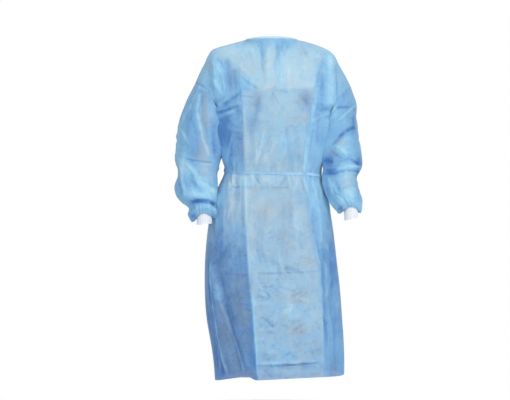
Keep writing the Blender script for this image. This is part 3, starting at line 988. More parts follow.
def backGrid(side):  # hem row first, side seam first
    surface, outward = (backSurface, backOut) if side < 0 else (backSurface[:, ::-1], backOut[:, ::-1])
    rows, places = len(surface), np.arange(surface.shape[1], dtype=float)
    seamColumns, neckColumns = grids["backShoulder"] * columnSteps, grids["backNeck"] * columnSteps
    upYoke = np.clip((np.arange(rows) - (rows - 1 - halfBack)) / halfBack, 0, 1)
    parting = gown["neck"]["parting"]
    past = (backPanels["overlap"] + parting) * ease((1 - upYoke) / 0.8) - parting
    past = past + 0.0025 * np.sin(np.arange(rows) / 17.0 + side) * ease((1 - upYoke) / 0.5)
    step = side * -backPanels["layerStep"] * ease(np.arange(rows)[::-1] / (seamFade["rows"] * rowSteps))
    grid = []
    for row in range(rows):
        edge = np.interp(past[row], -side * surface[row, seamColumns:, 0], places[seamColumns:])
        at = np.concatenate([places[:seamColumns + 1], np.linspace(seamColumns, edge, neckColumns + 1)[1:]])
        layered = step[row] * ease((at - 0.5 * seamColumns) / (0.5 * seamColumns))
        grid.append(between(surface[row], at) + unit(between(outward[row], at)) * layered[:, None])
    return np.array(grid)


backGrids = {}
for side, node, beside in ((-1, "back_panel_left", "leftSide"), (1, "back_panel_right", "rightSide")):
    grid = backGrids[side] = backGrid(side)
    normals = gridNormals(grid) * side
    x, z = grid[..., 0], grid[..., 2]
    atSide = ease((np.abs(x) - 0.08) / 0.09)
    middle = (backPanels["tone"] + backPanels["paler"] * ease((z + 0.30) / 0.2), backPanels["grey"])
    tone, grey = (inner + (outer - inner) * atSide
                  for inner, outer in zip(middle, readTable(frontPanel[beside], z, (1, 2))))
    tone = tone + foldHeight(x, z, scattered)[1] + foldHeight(x, z, mirrored)[1]
    piece = shellMesh(node + "_cloth", grid, grid + normals * -backPanels["wall"], spunbond, tone=tone, grey=grey)
    dress(piece, "nonwoven", node)
print("back panels made")

# sleeves

sleeves = {
    "wall": 0.0008, "rows": 160, "waves": 0.0010, "flat": (0.46, 0.48), "area": 0.17,
    # gathers towards the cuff: how many, how high, how unevenly spaced, where they begin and grow full
    "gathers": 14, "gatherHeight": 0.0032, "gatherUneven": (0.022, 0.014), "gatherFrom": 0.80, "gatherOver": 0.16,
    # how far the cloth stands out to the body under the armhole, where round the sleeve, how wide and how far down
    "fullness": 0.028, "fullAt": 0.13, "fullReach": 0.08, "fullTo": (0.25, 0.30),
    "bareFront": 0.019, "bareBack": 0.008, "droop": 0.007,  # how far the gathered end is drawn up off the cuff
    "wrinkles": 70, "wrinkleHeight": 0.0030, "wrinkleLight": 30,
    "turn": ((0.0, 0.0), (0.10, -0.0045), (0.32, -0.0062), (0.62, -0.0030), (1.00, 0.0080)),  # share inwards, rise
    "turnRows": 20, "seamClear": 0.0006, "toneAt": (0.2, 0.55, 0.8, 1.0),
}
# of each sleeve, tone: how pale at the armpit, in the upper half and in the lower half. sections: outerX, outerZ,
# innerX, innerZ, middleY, halfDepth. folds: along, around, height, reachAlong, reachAround, slant
sleeves["left"] = {
    "armhole": "armholeLeft", "tone": (0.66, 0.5, 0.6), "seed": 31,
    "sections": inUnits(0.001,
        (-254.5, -140, -189, -243, 16, 80), (-265, -160, -188.5, -256, 13.5, 80), (-286, -200, -177, -281, 4, 83),
        (-308, -262, -169, -320, -6, 80), (-316, -330, -163, -365, -16, 75), (-322, -401, -173.5, -411, -28, 70),
        (-311.5, -448, -181.5, -448, -42, 63), (-322, -494, -177.5, -494, -58, 65), (-313, -523, -178, -523, -68, 60),
        (-296, -540, -180, -540, -74, 52), (-272, -556, -186, -556, -80, 40), (-274, -576, -181, -574, -83, 43),
        (-266, -592, -187, -586, -84, 38)),
    "folds": inUnits(wrapUnits,
        (20, 30, 60, 30, 6, 10), (30, 14, -60, 22, 5.5, 12), (50, 34, 60, 8, 20, 30), (60, 20, -50, 6, 18, -30),
        (22, 72, 60, 28, 6, -10), (52, 66, 60, 8, 17, 30), (42, 22, 40, 5, 16, 50), (70, 32, 45, 5, 16, -40),
        (12, 22, 45, 16, 4, 5), (14, 40, -40, 16, 4.5, -5), (66, 12, 45, 6, 11, 40), (78, 24, -40, 5, 15, 30),
        (30, 7, 110, 36, 8.5), (13, 6, 140, 13, 9)),
    "cuff": inUnits(0.001,
        (-247, -556, -199, -555, -84, 28), (-246, -614, -199, -610, -88, 27)),
    "pressed": inUnits(foldUnits,
        (-239, -178, -249, -250, 25, 9, 22), (-248, -237, -224, -346, 28, 10, 24),
        (-228, -329, -204, -392, 25, 9, 20), (-228, -181, -234, -218, -15, 6, -14),
        (-307, -293, -269, -359, 25, 9, 20), (-221, -204, -228, -310, -15, 9, -6),
        (-264, -198, -270, -283, -25, 10, -10), (-211, -204, -208, -336, 15, 9, 6),
        (-293, -398, -189, -412, -20, 4.5, -30, 6), (-243, -416, -191, -419, 12, 6, 8),
        (-289, -409, -232, -472, 50, 12, 16, -20), (-245, -465, -178, -511, 50, 13, 14, -5),
        (-272, -462, -222, -514, -35, 9, -12), (-307, -402, -283, -530, 35, 11, 14, -10),
        (-306, -452, -299, -524, -30, 7, -14), (-280, -369, -299, -422, 20, 9, 8),
        (-251, -323, -240, -389, -20, 9, -6), (-216, -494, -196, -533, 25, 8, 10),
        (-202, -507, -179, -540, -20, 7, -8), (-268, -488, -247, -530, 25, 8, 10),
        (-254, -535, -179, -543, -40, 7, -24, -6), (-263, -546, -225, -546, -25, 7, -14),
        (-205, -546, -178, -553, -50, 8, -45), (-247, -556, -241, -585, 15, 5, 10),
        (-225, -553, -221, -575, -15, 5, -8), (-208, -556, -205, -582, 18, 5, 10),
        (-267, -575, -244, -585, 15, 5, 12), (-196, -567, -179, -566, 20, 5, 20),
        (-267, -585, -244, -596, -20, 5, -25), (-199, -585, -179, -588, -20, 5, -25),
        (-284, -297, -277, -369, -15, 8, -6), (-300, -231, -290, -283, 15, 8, 8),
        (-192, -270, -188, -402, -25, 8, -12), (-220, -442, -212, -488, 12, 8, 4),
        (-244, -150, -203, -167, -20, 4.5, -22), (-269, -439, -245, -501, -25, 9, -12),
        (-255, -455, -238, -488, 20, 7, 10), (-229, -198, -229, -264, -15, 6, -14),
        (-221, -277, -208, -336, -15, 6, -12), (-264, -264, -244, -336, -15, 8, -10),
        (-236, -158, -279, -244, 20, 5, 10), (-236, -425, -248, -481, -20, 5, -10),
        (-226, -462, -206, -501, -15, 5, -8), (-292, -442, -277, -501, -20, 5, -10),
        (-213, -435, -193, -481, 15, 5, 6)),
    "tones": inUnits(patchUnits,
        (-219, -244, 18, 60, 6, 80), (-277, -244, 20, 47, -8, -30), (-224, -362, 20, 47, 4, 75),
        (-220, -442, 27, 33, 12, 50), (-299, -419, 20, 33, 14, -30), (-231, -514, 37, 15, 18, -40),
        (-267, -362, 23, 40, -8, 5), (-303, -494, 13, 37, -8, -30), (-234, -546, 27, 10, -10, -30),
        (-187, -549, 13, 10, -42, -30), (-221, -566, 23, 9, 12, -20), (-260, -580, 13, 17, -28, -20),
        (-186, -591, 10, 13, -20, -30), (-188, -369, 10, 67, -12, -20), (-243, -402, 27, 13, 5, 30),
        (-248, -485, 20, 27, 6, -30), (-193, -517, 13, 20, 8, -50), (-316, -310, 10, 53, 10, -50),
        (-283, -386, 27, 17, 6, -30), (-269, -435, 30, 27, 6, -30), (-247, -541, 20, 10, -28, -30),
        (-221, -535, 27, 7, -14, -20), (-265, -485, 13, 20, -8, 10), (-228, -270, 17, 47, -3, 25),
        (-220, -435, 23, 27, 3, 20), (-264, -329, 17, 27, 0, -10), (-254, -386, 27, 17, -5, 25),
        (-198, -244, 10, 33, 8, -20), (-287, -336, 20, 37, 8, -20), (-288, -435, 20, 37, 12, -20),
        (-270, -231, 23, 33, 3, -30), (-234, -549, 27, 10, -42, -70), (-235, -507, 27, 13, -4, -20),
        (-247, -386, 20, 20, -6), (-306, -501, 13, 27, -6, -20), (-280, -270, 23, 47, -3, -20),
        (-274, -264, 17, 53, -7, -30), (-247, -297, 10, 33, -5, -10), (-270, -231, 20, 37, 9, -10),
        (-290, -336, 20, 33, 9, -10), (-288, -435, 17, 33, 11, -10), (-257, -575, 13, 13, 17, -10),
        (-221, -336, 13, 27, -6), (-287, -264, 23, 60, -4, -50), (-288, -435, 20, 27, 0, -40),
        (-290, -501, 17, 20, 0, -30), (-225, -507, 30, 13, -3, -30), (-299, -553, 23, 17, 0, -40),
        (-270, -234, 20, 27, 7, -20), (-221, -122, 20, 27, 0, -20), (-195, -221, 10, 17, 10),
        (-270, -237, 30, 40, 5, -30), (-285, -435, 30, 40, 4, -25), (-270, -244, 27, 40, 2, -25),
        (-234, -142, 17, 27, 15), (-293, -290, 20, 30, 11), (-175, -362, 13, 20, -10), (-263, -422, 17, 20, -9),
        (-293, -277, 17, 23, 6, -20), (-234, -135, 17, 23, 8), (-205, -66, 13, 13, 8)),
    "bands": inUnits(bandUnits,
        (-309, -396, -263, -429, 11.3, 9.3, 11, -45), (-249, -462, -180, -514, 12.7, 10, 9, -40),
        (-310, -264, -313, -422, 6.7, 5.3, 13, -40), (-326, -429, -315, -520, 4, 4, 10, -40),
        (-260, -554, -189, -561, 7.3, 4, 10, -30), (-247, -158, -203, -180, 3.3, 3.3, 26, -60),
        (-269, -422, -232, -468, 7.3, 6.7, 12, -40), (-280, -504, -183, -532, 10.7, 10, 8, -35),
        (-319, -409, -304, -527, 5.3, 4.7, 8, -20), (-240, -178, -248, -247, 5, 4.7, 13, -10),
        (-248, -241, -224, -349, 5.3, 5, 13, -10), (-226, -336, -208, -396, 5, 5, 12, -10),
        (-231, -139, -280, -237, 4.3, 4.3, 12, -40), (-280, -231, -307, -303, 4.3, 4.3, 12, -40),
        (-308, -290, -314, -402, 4, 4, 8, -30), (-309, -389, -288, -435, 5.3, 4.7, 6, -30),
        (-282, -429, -249, -462, 5, 4.3, 6, -30), (-245, -468, -186, -507, 5, 4.3, 6, -30),
        (-224, -86, -270, -178, 3.3, 3.3, 10, -30)),
}
sleeves["right"] = {
    "armhole": "armholeRight", "tone": (0.72, 0.53, 0.6), "seed": 47,
    "sections": inUnits(0.001,
        (264.7, -159, 199, -256, 16, 80), (271.5, -177, 197.5, -266, 13.5, 80), (283, -212, 185, -285, 4, 83),
        (281, -262, 178, -312, -3, 79), (287, -306, 172, -342, -11, 76), (293, -348, 166, -371, -20, 72),
        (298, -396, 161.5, -403, -34, 70), (297.5, -424, 166.5, -430, -44, 66), (281, -456, 162.5, -458, -53, 56),
        (284, -494, 169, -497, -64, 60), (291, -527, 185, -532, -74, 54), (292, -548, 197, -553, -80, 46),
        (290, -563, 214, -572, -83, 40)),
    "folds": inUnits(wrapUnits,
        (22, 28, 50, 26, 6, -10), (30, 44, -50, 20, 5.5, 10), (47, 25, 80, 5, 24), (58, 25, -70, 5, 22),
        (24, 74, 60, 26, 6, 10), (46, 72, 60, 6, 20), (8, 30, 50, 5, 18, 10), (16, 22, -45, 6, 15, -20),
        (66, 30, 60, 5, 20, 10), (76, 20, -50, 5, 16, -10), (36, 34, 40, 5, 15, -30), (12, 42, 45, 14, 4.5),
        (32, 7, 110, 40, 8.5), (13, 6, 140, 13, 9)),
    "cuff": inUnits(0.001,
        (277, -532, 233, -535, -84, 27), (280, -590, 236.5, -600, -88, 26)),
    "pressed": inUnits(foldUnits,
        (233, -181, 236, -221, -18, 6, -16), (203, -231, 259, -228, -40, 7, -26, 15),
        (279, -218, 241, -252, 30, 6, 18), (249, -246, 210, -277, 30, 6, 18), (259, -221, 276, -244, -25, 6, -12),
        (239, -264, 279, -267, -20, 8, -6), (269, -250, 272, -306, -30, 8, -20),
        (279, -290, 233, -308, -45, 9, -24, -10), (236, -306, 192, -356, -40, 9, -24, -20),
        (206, -362, 243, -336, 25, 8, 14), (197, -352, 239, -372, 20, 8, 12, 10),
        (216, -333, 262, -329, 25, 9, 10, 10), (190, -369, 228, -402, -30, 9, -16, 10),
        (216, -356, 248, -396, 25, 8, 14), (233, -369, 265, -389, 15, 8, 8), (165, -402, 199, -411, -40, 9, -20),
        (215, -412, 255, -396, -30, 7, -18), (252, -396, 290, -419, -45, 8, -26, 10),
        (203, -435, 247, -421, 60, 9, 13, 8), (238, -421, 290, -427, 60, 9, 13, -12),
        (201, -447, 240, -436, -40, 6, -20, 4), (237, -436, 283, -439, -40, 6, -16, 5),
        (169, -429, 201, -429, 20, 6, 6), (165, -449, 211, -449, -30, 7, -16), (181, -455, 199, -524, 30, 7, 16),
        (192, -475, 213, -520, 30, 6, 18), (174, -481, 187, -530, -30, 6, -20), (201, -462, 222, -514, -25, 6, -12),
        (222, -498, 252, -480, -20, 8, -12, 15), (249, -480, 278, -488, -20, 8, -8), (227, -462, 259, -455, 15, 9, 5),
        (205, -520, 231, -559, 30, 7, 14), (186, -524, 211, -562, -25, 7, -12), (228, -527, 237, -556, -15, 6, -8),
        (247, -527, 250, -556, 18, 6, 10), (267, -524, 273, -556, -18, 6, -10), (211, -562, 231, -575, -20, 6, -25),
        (283, -435, 275, -462, -25, 6, -25), (278, -488, 282, -546, -20, 7, -12), (223, -277, 262, -290, 15, 8, 5),
        (256, -301, 213, -328, -30, 7, -18, -10), (170, -396, 199, -402, -20, 7, -10)),
    "tones": inUnits(patchUnits,
        (229, -237, 20, 13, 0, 40), (269, -283, 13, 27, -14, -30), (256, -218, 20, 17, -4, -20),
        (223, -343, 23, 17, 4, 50), (233, -372, 23, 23, 13, 15), (199, -386, 17, 20, -10, 35),
        (181, -411, 20, 20, -20, -40), (247, -424, 40, 10, 12, -40), (191, -440, 23, 15, -26, -55),
        (281, -445, 10, 15, -30, -45), (246, -478, 27, 30, 13, 35), (247, -520, 27, 30, 16, -5),
        (200, -494, 17, 30, -2, -40), (218, -546, 20, 13, 2, -40), (263, -549, 20, 10, 10, -30),
        (221, -569, 13, 8, -30, 10), (183, -362, 13, 20, 5, -20), (243, -277, 23, 13, 0, -10),
        (190, -379, 17, 20, -8, 35), (286, -409, 12, 20, -30, -50), (183, -287, 20, 60, -3, -30),
        (262, -303, 17, 13, -10, -30), (243, -336, 27, 13, 5, 10), (256, -224, 27, 13, -6, 10),
        (239, -264, 20, 17, -3, 20), (237, -455, 23, 13, 10, 20), (212, -501, 13, 20, -6, -20),
        (206, -247, 10, 33, 8, -20), (223, -369, 23, 17, 7, -10), (237, -449, 27, 10, 6, -10),
        (212, -517, 17, 23, -6, -20), (241, -422, 27, 10, 4, -20), (256, -221, 20, 17, -1, -30),
        (239, -264, 20, 20, -1, -30), (182, -429, 23, 27, -12, -30), (244, -414, 30, 13, 5, -50),
        (257, -517, 17, 27, 8, -20), (223, -369, 20, 17, 8), (236, -485, 20, 20, 0, 30), (237, -449, 23, 10, 8),
        (256, -221, 27, 27, -3, -40), (262, -303, 20, 47, -3, -30), (256, -221, 20, 20, 0, -30),
        (203, -247, 10, 27, 8), (246, -369, 20, 17, 3), (256, -221, 23, 33, 4, -30), (200, -227, 7, 15, 30),
        (256, -224, 20, 30, 2, -25), (234, -553, 20, 23, 11, -10)),
    "bands": inUnits(bandUnits,
        (161, -396, 199, -414, 10.7, 10.7, -10, -50), (172, -437, 217, -446, 8, 8.7, -14, -70),
        (275, -396, 290, -422, 8, 8, -12, -50), (205, -432, 249, -421, 4.3, 4.7, 10, -50),
        (244, -421, 288, -426, 4.3, 4.7, 10, -50), (277, -218, 213, -275, 2.7, 3, 10, -50),
        (285, -264, 292, -369, 4, 4, 8, -40), (171, -465, 189, -527, 5.3, 4.7, -8, -60),
        (216, -244, 262, -283, 13.3, 10, 2, -40), (262, -155, 282, -218, 3.3, 3.3, 10, -30),
        (282, -244, 294, -369, 3.3, 3.3, 8, -30)),
}


def turnWave(turns, at, shift=0.0):  # sine that comes round a whole number of times
    return np.sin(2 * math.pi * (turns * at + shift))


def sectionPoints(outerX, outerZ, innerX, innerZ, middleY, halfDepth, around):
    share = (1 - np.cos(2 * math.pi * around)) / 2
    x, z = innerX + (outerX - innerX) * share, innerZ + (outerZ - innerZ) * share
    return np.stack([x, middleY - halfDepth * turnWave(1, around), z], axis=-1)


def roundFold(along, around, reachAlong, reachAround, slope):  # 1 on a fold's middle, 0 at its reach
    return np.clip(1 - np.hypot(along / reachAlong, around / reachAround), 0, 1) ** slope


def sleeveFolds(along, around, folds):
    raised = np.zeros(along.shape)
    for foldAlong, foldAround, height, reachAlong, reachAround, slant in folds:
        aside = (around - foldAround - slant * (along - foldAlong) + 0.5) % 1 - 0.5
        raised += height * roundFold(along - foldAlong, aside, reachAlong, reachAround, 1.3)
    return raised


def sleeveWrinkles(along, around, seed):  # shorter folds: lengthwise near the armhole, crosswise at the elbow
    dice = np.random.default_rng(seed)
    raised = np.zeros(along.shape)
    for _ in range(sleeves["wrinkles"]):
        place, turn = dice.uniform(0.04, 0.93), dice.uniform(0, 1)
        crosswise = 0.25 + 0.75 * ease((place - 0.15) / 0.3)
        reachAlong = 0.075 * (1 - crosswise) + 0.020 * dice.uniform(0.8, 1.5)
        reachAround = 0.025 + 0.085 * crosswise * dice.uniform(0.6, 1.3)
        slant = dice.uniform(-0.9, 0.9) * crosswise
        lift = sleeves["wrinkleHeight"] * dice.uniform(0.4, 1.3) * (1 if dice.uniform() < 0.6 else -1)
        aside = (around - turn + 0.5) % 1 - 0.5
        raised += lift * roundFold((along - place) - slant * aside * 0.5, aside, reachAlong, reachAround, 1.2)
    return raised


def gathers(place, turn):  # pleats round the lower end, uneven in width and depth
    near, far = sleeves["gatherUneven"]
    uneven = turn + near * turnWave(3, turn, 0.2) + far * turnWave(5, turn, 0.6)
    crest = np.cos(2 * math.pi * sleeves["gathers"] * uneven) * (0.7 + 0.3 * turnWave(2, turn, 0.1))
    begin = sleeves["gatherFrom"] + 0.05 * np.sin(9 * turn)
    return sleeves["gatherHeight"] * crest * ease((place - begin) / sleeves["gatherOver"])


def turnedEnd(last, section, around):  # the gathered end goes in and up to its seam on the cuff
    top, foot = section
    turns = np.array(sleeves["turn"])
    reached = last[:, 2].mean() + turns[-1, 1]
    section = top + (foot - top) * (top[1] + top[3] - 2 * reached) / (top[1] + top[3] - foot[1] - foot[3])
    wider = math.copysign(sleeves["seamClear"], section[0])
    seam = sectionPoints(*(section + (wider, 0, -wider, 0, 0, sleeves["seamClear"])), around)
    rings = []
    for share, rise in between(turns, np.linspace(0, len(turns) - 1, sleeves["turnRows"] + 1))[1:]:
        ring = last + (seam - last) * share
        ring[:, 2] = last[:, 2] + rise
        rings.append(ring)
    return np.array(rings)


def makeSleeve(name, facts):
    count = grids["sleeveColumns"] * grids["sleeveFine"]
    around = np.arange(count) / count
    table = facts["sections"]
    knots = travelled((table[:, :2] + table[:, 2:4]) / 2)
    along = np.linspace(0, 1, sleeves["rows"] + 1)
    grid = np.array([sectionPoints(*section, around) for section in smooth(knots / knots[-1], table, along)])
    loop = armholeFine(gown[facts["armhole"]], grids["sleeveFine"])
    grid += (loop - grid[0]) * (1 - ease(along / 0.3))[:, None, None]
    place = np.broadcast_to(along[:, None], grid.shape[:2])
    turn = np.broadcast_to(around[None, :], grid.shape[:2])
    fullEnd, fullFade = sleeves["fullTo"]
    full = np.exp(-((turn - sleeves["fullAt"]) / sleeves["fullReach"]) ** 2)
    full = full * ease(place / 0.03) * (1 - ease((place - fullEnd) / fullFade))
    grid[..., 0] -= math.copysign(sleeves["fullness"], table[0, 0]) * full
    x, y, z = (grid[..., axis] for axis in range(3))
    onFront = ease(turnWave(1, turn) / 0.35) + 0.5 * ease(-turnWave(1, turn) / 0.35)
    pressed, light = foldHeight(x, z, facts["pressed"])
    softTone, softGrey = softTones(x, z, facts["tones"], facts["bands"])
    wrinkles = sleeveWrinkles(place, turn, facts["seed"]) * (1 - 0.6 * onFront)
    inside = ease(place / 0.06) * (1 - ease((place - 0.87) / 0.1))
    raised = (sleeveFolds(place, turn, facts["folds"]) + wrinkles) * inside
    raised += pressed * onFront * ease(place / 0.06) * (1 - ease((place - 0.94) / 0.06))
    raised += slowWaves(x, y, z, sleeves["waves"], facts["seed"]) * inside + gathers(place, turn)
    grid = grid + unit(grid - grid.mean(axis=1, keepdims=True)) * raised[..., None]
    toFront, inward = turnWave(1, around), -np.cos(2 * math.pi * around)
    lift = (sleeves["bareFront"] * np.maximum(toFront, 0) ** 2 + sleeves["bareBack"] * np.maximum(-toFront, 0) ** 2
            - sleeves["droop"] * np.maximum(inward, 0) ** 4)
    grid[..., 2] += lift * ease((place - 0.80) / 0.20)
    end = turnedEnd(grid[-1], facts["cuff"], around)
    grid = np.concatenate([grid, end])
    normals = gridNormals(grid, wrap=True)
    away = grid - grid.mean(axis=1, keepdims=True)
    upper = sleeves["rows"] // 2  # the rows that are clear of the gathers
    normals = normals * math.copysign(1.0, (normals * away)[:upper].sum())
    armpit, upperTone, lowerTone = facts["tone"]
    rest = ((0, len(end)), (0, 0))
    tone = np.interp(place, sleeves["toneAt"], (upperTone, upperTone, lowerTone, lowerTone))
    tone = tone + (armpit - tone) * ease(1 - turn / 0.22) + onFront * (light + softTone)
    tone = np.pad(tone, rest, mode="edge") + np.pad(wrinkles, rest) * sleeves["wrinkleLight"]
    piece = shellMesh(name, grid, grid - normals * sleeves["wall"], spunbond, wrap=True, tone=tone,
                      grey=np.pad(onFront * softGrey, rest, mode="edge"))
    return piece, grid, normals


sleeveMade = {}
for side in ("left", "right"):
    sleeveMade[side] = makeSleeve("sleeve_" + side + "_cloth", sleeves[side])
    dress(sleeveMade[side][0], "nonwoven", "sleeve_" + side)
print("sleeves made")

# cuffs: a plain knitted tube, whose ribs a node tree raises

cuffs = {"wall": 0.0018, "rows": 44, "perRib": 8, "roll": 0.0007, "swell": 0.0006, "clear": 0.0002,
         "flat": (0.17, 0.060)}
ribs = {"Ribs": 26, "Rib Height": 0.0011, "Knit": ribKnit}
ribCurve = 0.7  # under 1: broad ribs with narrow furrows


def newTree(name, values):  # a node tree that works on a piece, with a named input for each of the values
    kinds = {float: "Float", int: "Int", bpy.types.Material: "Material"}
    tree = bpy.data.node_groups.new(name, "GeometryNodeTree")
    for way in ("INPUT", "OUTPUT"):
        tree.interface.new_socket("Geometry", in_out=way, socket_type="NodeSocketGeometry")
    for label, value in values.items():
        tree.interface.new_socket(label, in_out="INPUT", socket_type="NodeSocket" + kinds[type(value)])
    return tree, addNode(tree, "NodeGroupInput").outputs


def ribTree():
    tree, given = newTree("rib knit", ribs)
    around, outside = (addNode(tree, "GeometryNodeInputNamedAttribute", {"Name": name}, data_type="FLOAT")
                       for name in ("around", "outside"))
    shown = around
    for operation, *others in (("MULTIPLY", given["Ribs"]), ("MULTIPLY", 2 * math.pi), ("COSINE",),
                               ("MULTIPLY_ADD", 0.5, 0.5), ("POWER", ribCurve), ("MULTIPLY", outside)):
        shown = addNode(tree, "ShaderNodeMath", dict(enumerate([shown] + others)), operation=operation)
    height = addNode(tree, "ShaderNodeMath", {0: shown, 1: given["Rib Height"]}, operation="MULTIPLY")
    normal = addNode(tree, "GeometryNodeInputNormal")
    away = addNode(tree, "ShaderNodeVectorMath", {0: normal, "Scale": height},
                   operation="SCALE")
    stored = addNode(tree, "GeometryNodeStoreNamedAttribute", data_type="FLOAT", domain="POINT", inputs={
        "Geometry": given["Geometry"], "Name": "rib", "Value": shown})
    moved = addNode(tree, "GeometryNodeSetPosition", {"Geometry": stored, "Offset": away})
    whole = addNode(tree, "GeometryNodeRealizeInstances", {"Geometry": moved})
    painted = addNode(tree, "GeometryNodeSetMaterial", {"Geometry": whole, "Material": given["Knit"]})
    addNode(tree, "NodeGroupOutput", {"Geometry": painted})
    return tree


def applyTree(piece, tree, values):  # runs a node tree on a piece and keeps the plain mesh
    modifier = piece.modifiers.new("tree", "NODES")
    modifier.node_group = tree
    for item in tree.interface.items_tree:
        if item.item_type == "SOCKET" and item.in_out == "INPUT" and item.name in values:
            modifier[item.identifier] = values[item.name]
    shown = piece.evaluated_get(bpy.context.evaluated_depsgraph_get())
    mesh = bpy.data.meshes.new_from_object(shown)
    piece.modifiers.remove(modifier)
    piece.data = mesh
    mesh.shade_smooth()


knitTree = ribTree()
for side in ("left", "right"):
    count = ribs["Ribs"] * cuffs["perRib"]
    around = np.arange(count) / count
    top, foot = sleeves[side]["cuff"]
    outer, inner = [], []
    for share in np.linspace(0, 1, cuffs["rows"] + 1):
        plain = sectionPoints(*(top + (foot - top) * share), around)
        away = unit((plain - plain.mean(axis=0)) * np.array([1.0, 1.0, 0.0]))
        swell = cuffs["swell"] * math.sin(math.pi * share) + cuffs["roll"] * ease((share - 0.9) / 0.1)
        outer.append(plain + away * (swell - cuffs["clear"]))
        inner.append(plain - away * cuffs["wall"])
    outer, inner = np.array(outer), np.array(inner)
    turn = np.broadcast_to(around[None, :], outer.shape[:2])
    piece = shellMesh("cuff_" + side + "_knit", outer, inner, ribKnit, wrap=True, around=turn)
    addValues(piece.data, "outside", np.repeat([1.0, 0.0], turn.size))
    applyTree(piece, knitTree, ribs)
    dress(piece, "knit", "cuff_" + side)
print("cuffs made")

# neck binding: a folded tape over the raw neck edge

binding = {"width": 0.0092, "thickness": 0.0026, "tone": 0.75, "flat": (0.0115, 0.56), "points": 150,
           "over": 0.44, "clear": 0.0004}  # over: how far it stands above the edge, as a share of its width
neckFirst = (grids["sideLeft"] + grids["shoulderLeft"]) * grids["frontFine"][1]
neckLast = neckFirst + grids["neck"] * grids["frontFine"][1]
backFirst = grids["backShoulder"] * grids["backFine"][1]
path = np.vstack([backGrids[-1][-1, :backFirst:-1], frontGrid[-1, neckFirst:neckLast + 1],
                  backGrids[1][-1, backFirst + 1:]])
path = path[np.concatenate([[True], np.linalg.norm(np.diff(path, axis=0), axis=1) > 0.0004])]
path = alongCurve(path, binding["points"])
rise, into = neckRise(path)
middle = path + rise * binding["width"] * binding["over"] + into * binding["clear"]
band = sweptMesh("neck_binding_tape", middle, rise, -into, tapeProfile(binding["width"], binding["thickness"]),
                 foldedTape, tone=np.full(len(middle), binding["tone"]))
dress(band, "tape", "neck_binding")

# waist belt: a narrow folded tape, tied behind

belt = {"width": 0.0094, "thickness": 0.0018, "clear": 0.0006, "flat": (0.0125, 0.88), "points": 260,
        "knotGap": 0.011,  # half of the stretch that the knot covers
        "groove": 0.0004, "wander": 0.0012, "overLayers": 0.0031, "backTone": 0.5,
        "toneAt": (-0.155, -0.100, -0.080, -0.020, 0.030, 0.045, 0.095, 0.106, 0.120, 0.165),
        "tones": (-0.25, -0.15, 0.25, 0.15, 0.20, 0.35, 0.35, -0.10, 0.35, 0.80)}


def rowAtHeight(grid, level, lift):  # points of a grid on the belt's line, moved up or down its surface
    step = grid[level + 1] - grid[level] if lift > 0 else grid[level] - grid[level - 1]
    return grid[level] + step * (lift / step[:, 2:])


def roundWaist(lift):
    back = rowAtHeight(backSurface, grids["backSkirtRows"] * grids["backFine"][0], lift)
    fore = rowAtHeight(frontGrid, grids["skirtRows"] * grids["frontFine"][0], lift)
    left, right = back[back[:, 0] < -belt["knotGap"]], back[back[:, 0] > belt["knotGap"]]
    return alongCurve(np.vstack([left[:0:-1], fore, right[-2::-1]]), belt["points"])


upper, lower = (roundWaist(lift) for lift in (belt["width"] / 2, -belt["width"] / 2))
middle = (upper + lower) / 2
run = np.gradient(middle, axis=0)
away = unit(np.stack([run[:, 1], -run[:, 0], np.zeros(len(run))], axis=1))
behind = ease((middle[:, 1:2] - gown["seamY"]) / 0.060)
middle = middle + away * (belt["clear"] + belt["thickness"] / 2 + belt["overLayers"] * behind)
for _ in range(6):
    middle[1:-1] = (middle[:-2] + 2 * middle[1:-1] + middle[2:]) / 4
wander = belt["wander"] * np.sin(np.linspace(0, 31, len(middle)))[:, None] * np.array([0, 0, 1.0])
beltTone = np.where(middle[:, 1] < gown["seamY"], np.interp(middle[:, 0], belt["toneAt"], belt["tones"]),
                    belt["backTone"])
strap = sweptMesh("waist_belt_tape", middle + wander, unit(upper - lower), away,
                  tapeProfile(belt["width"], belt["thickness"], belt["groove"]), foldedTape, tone=beltTone)
dress(strap, "tape", "waist_belt")

# knots and hanging ends

ties = {
    "tailThickness": 0.0012, "groove": 0.0003, "tone": 0.45, "points": 60, "narrow": 0.62,
    "clear": 0.0024, "off": 0.0016,  # room between cloth and tape, and for the tape's own thickness and twist
    "neck_tie": {"size": (0.0130, 0.0100, 0.0125), "lengths": (0.120, 0.135), "width": 0.009, "spread": 0.020},
    "belt": {"size": (0.0240, 0.0085, 0.0160), "lengths": (0.260, 0.290), "width": 0.014, "spread": 0.026},
}


def backDepth(x, z):
    across = [[np.interp(x, row[:, 0], row[:, axis]) for row in backSurface[::4]] for axis in (1, 2)]
    return np.interp(z, across[1], across[0]) + backPanels["layerStep"]


def makeKnot(name, node, centre, size):  # a tape drawn through itself once
    turn = np.linspace(0, 2 * math.pi, 97)[:-1]
    half = np.array(size) / 2
    wide, thick = half[2] * 0.36, half[1] * 0.34
    loop = np.stack([np.sin(turn) + 2 * np.sin(2 * turn), -np.sin(3 * turn), np.cos(turn) - 2 * np.cos(2 * turn)],
                    axis=1)
    path = np.array(centre) + loop * np.array([(half[0] - wide) / 2.7, half[1] - thick, (half[2] - wide) / 2.9])
    along = unit(np.roll(path, -1, axis=0) - np.roll(path, 1, axis=0))
    sideways = unit(np.cross(along, np.array([0.0, 1.0, 0.0])))
    knot = sweptMesh(name, path, sideways, np.cross(sideways, along), tapeProfile(wide * 2, thick * 2), foldedTape,
                     closed=True, tone=np.full(len(path), ties["tone"]))
    return dress(knot, "tape", node)


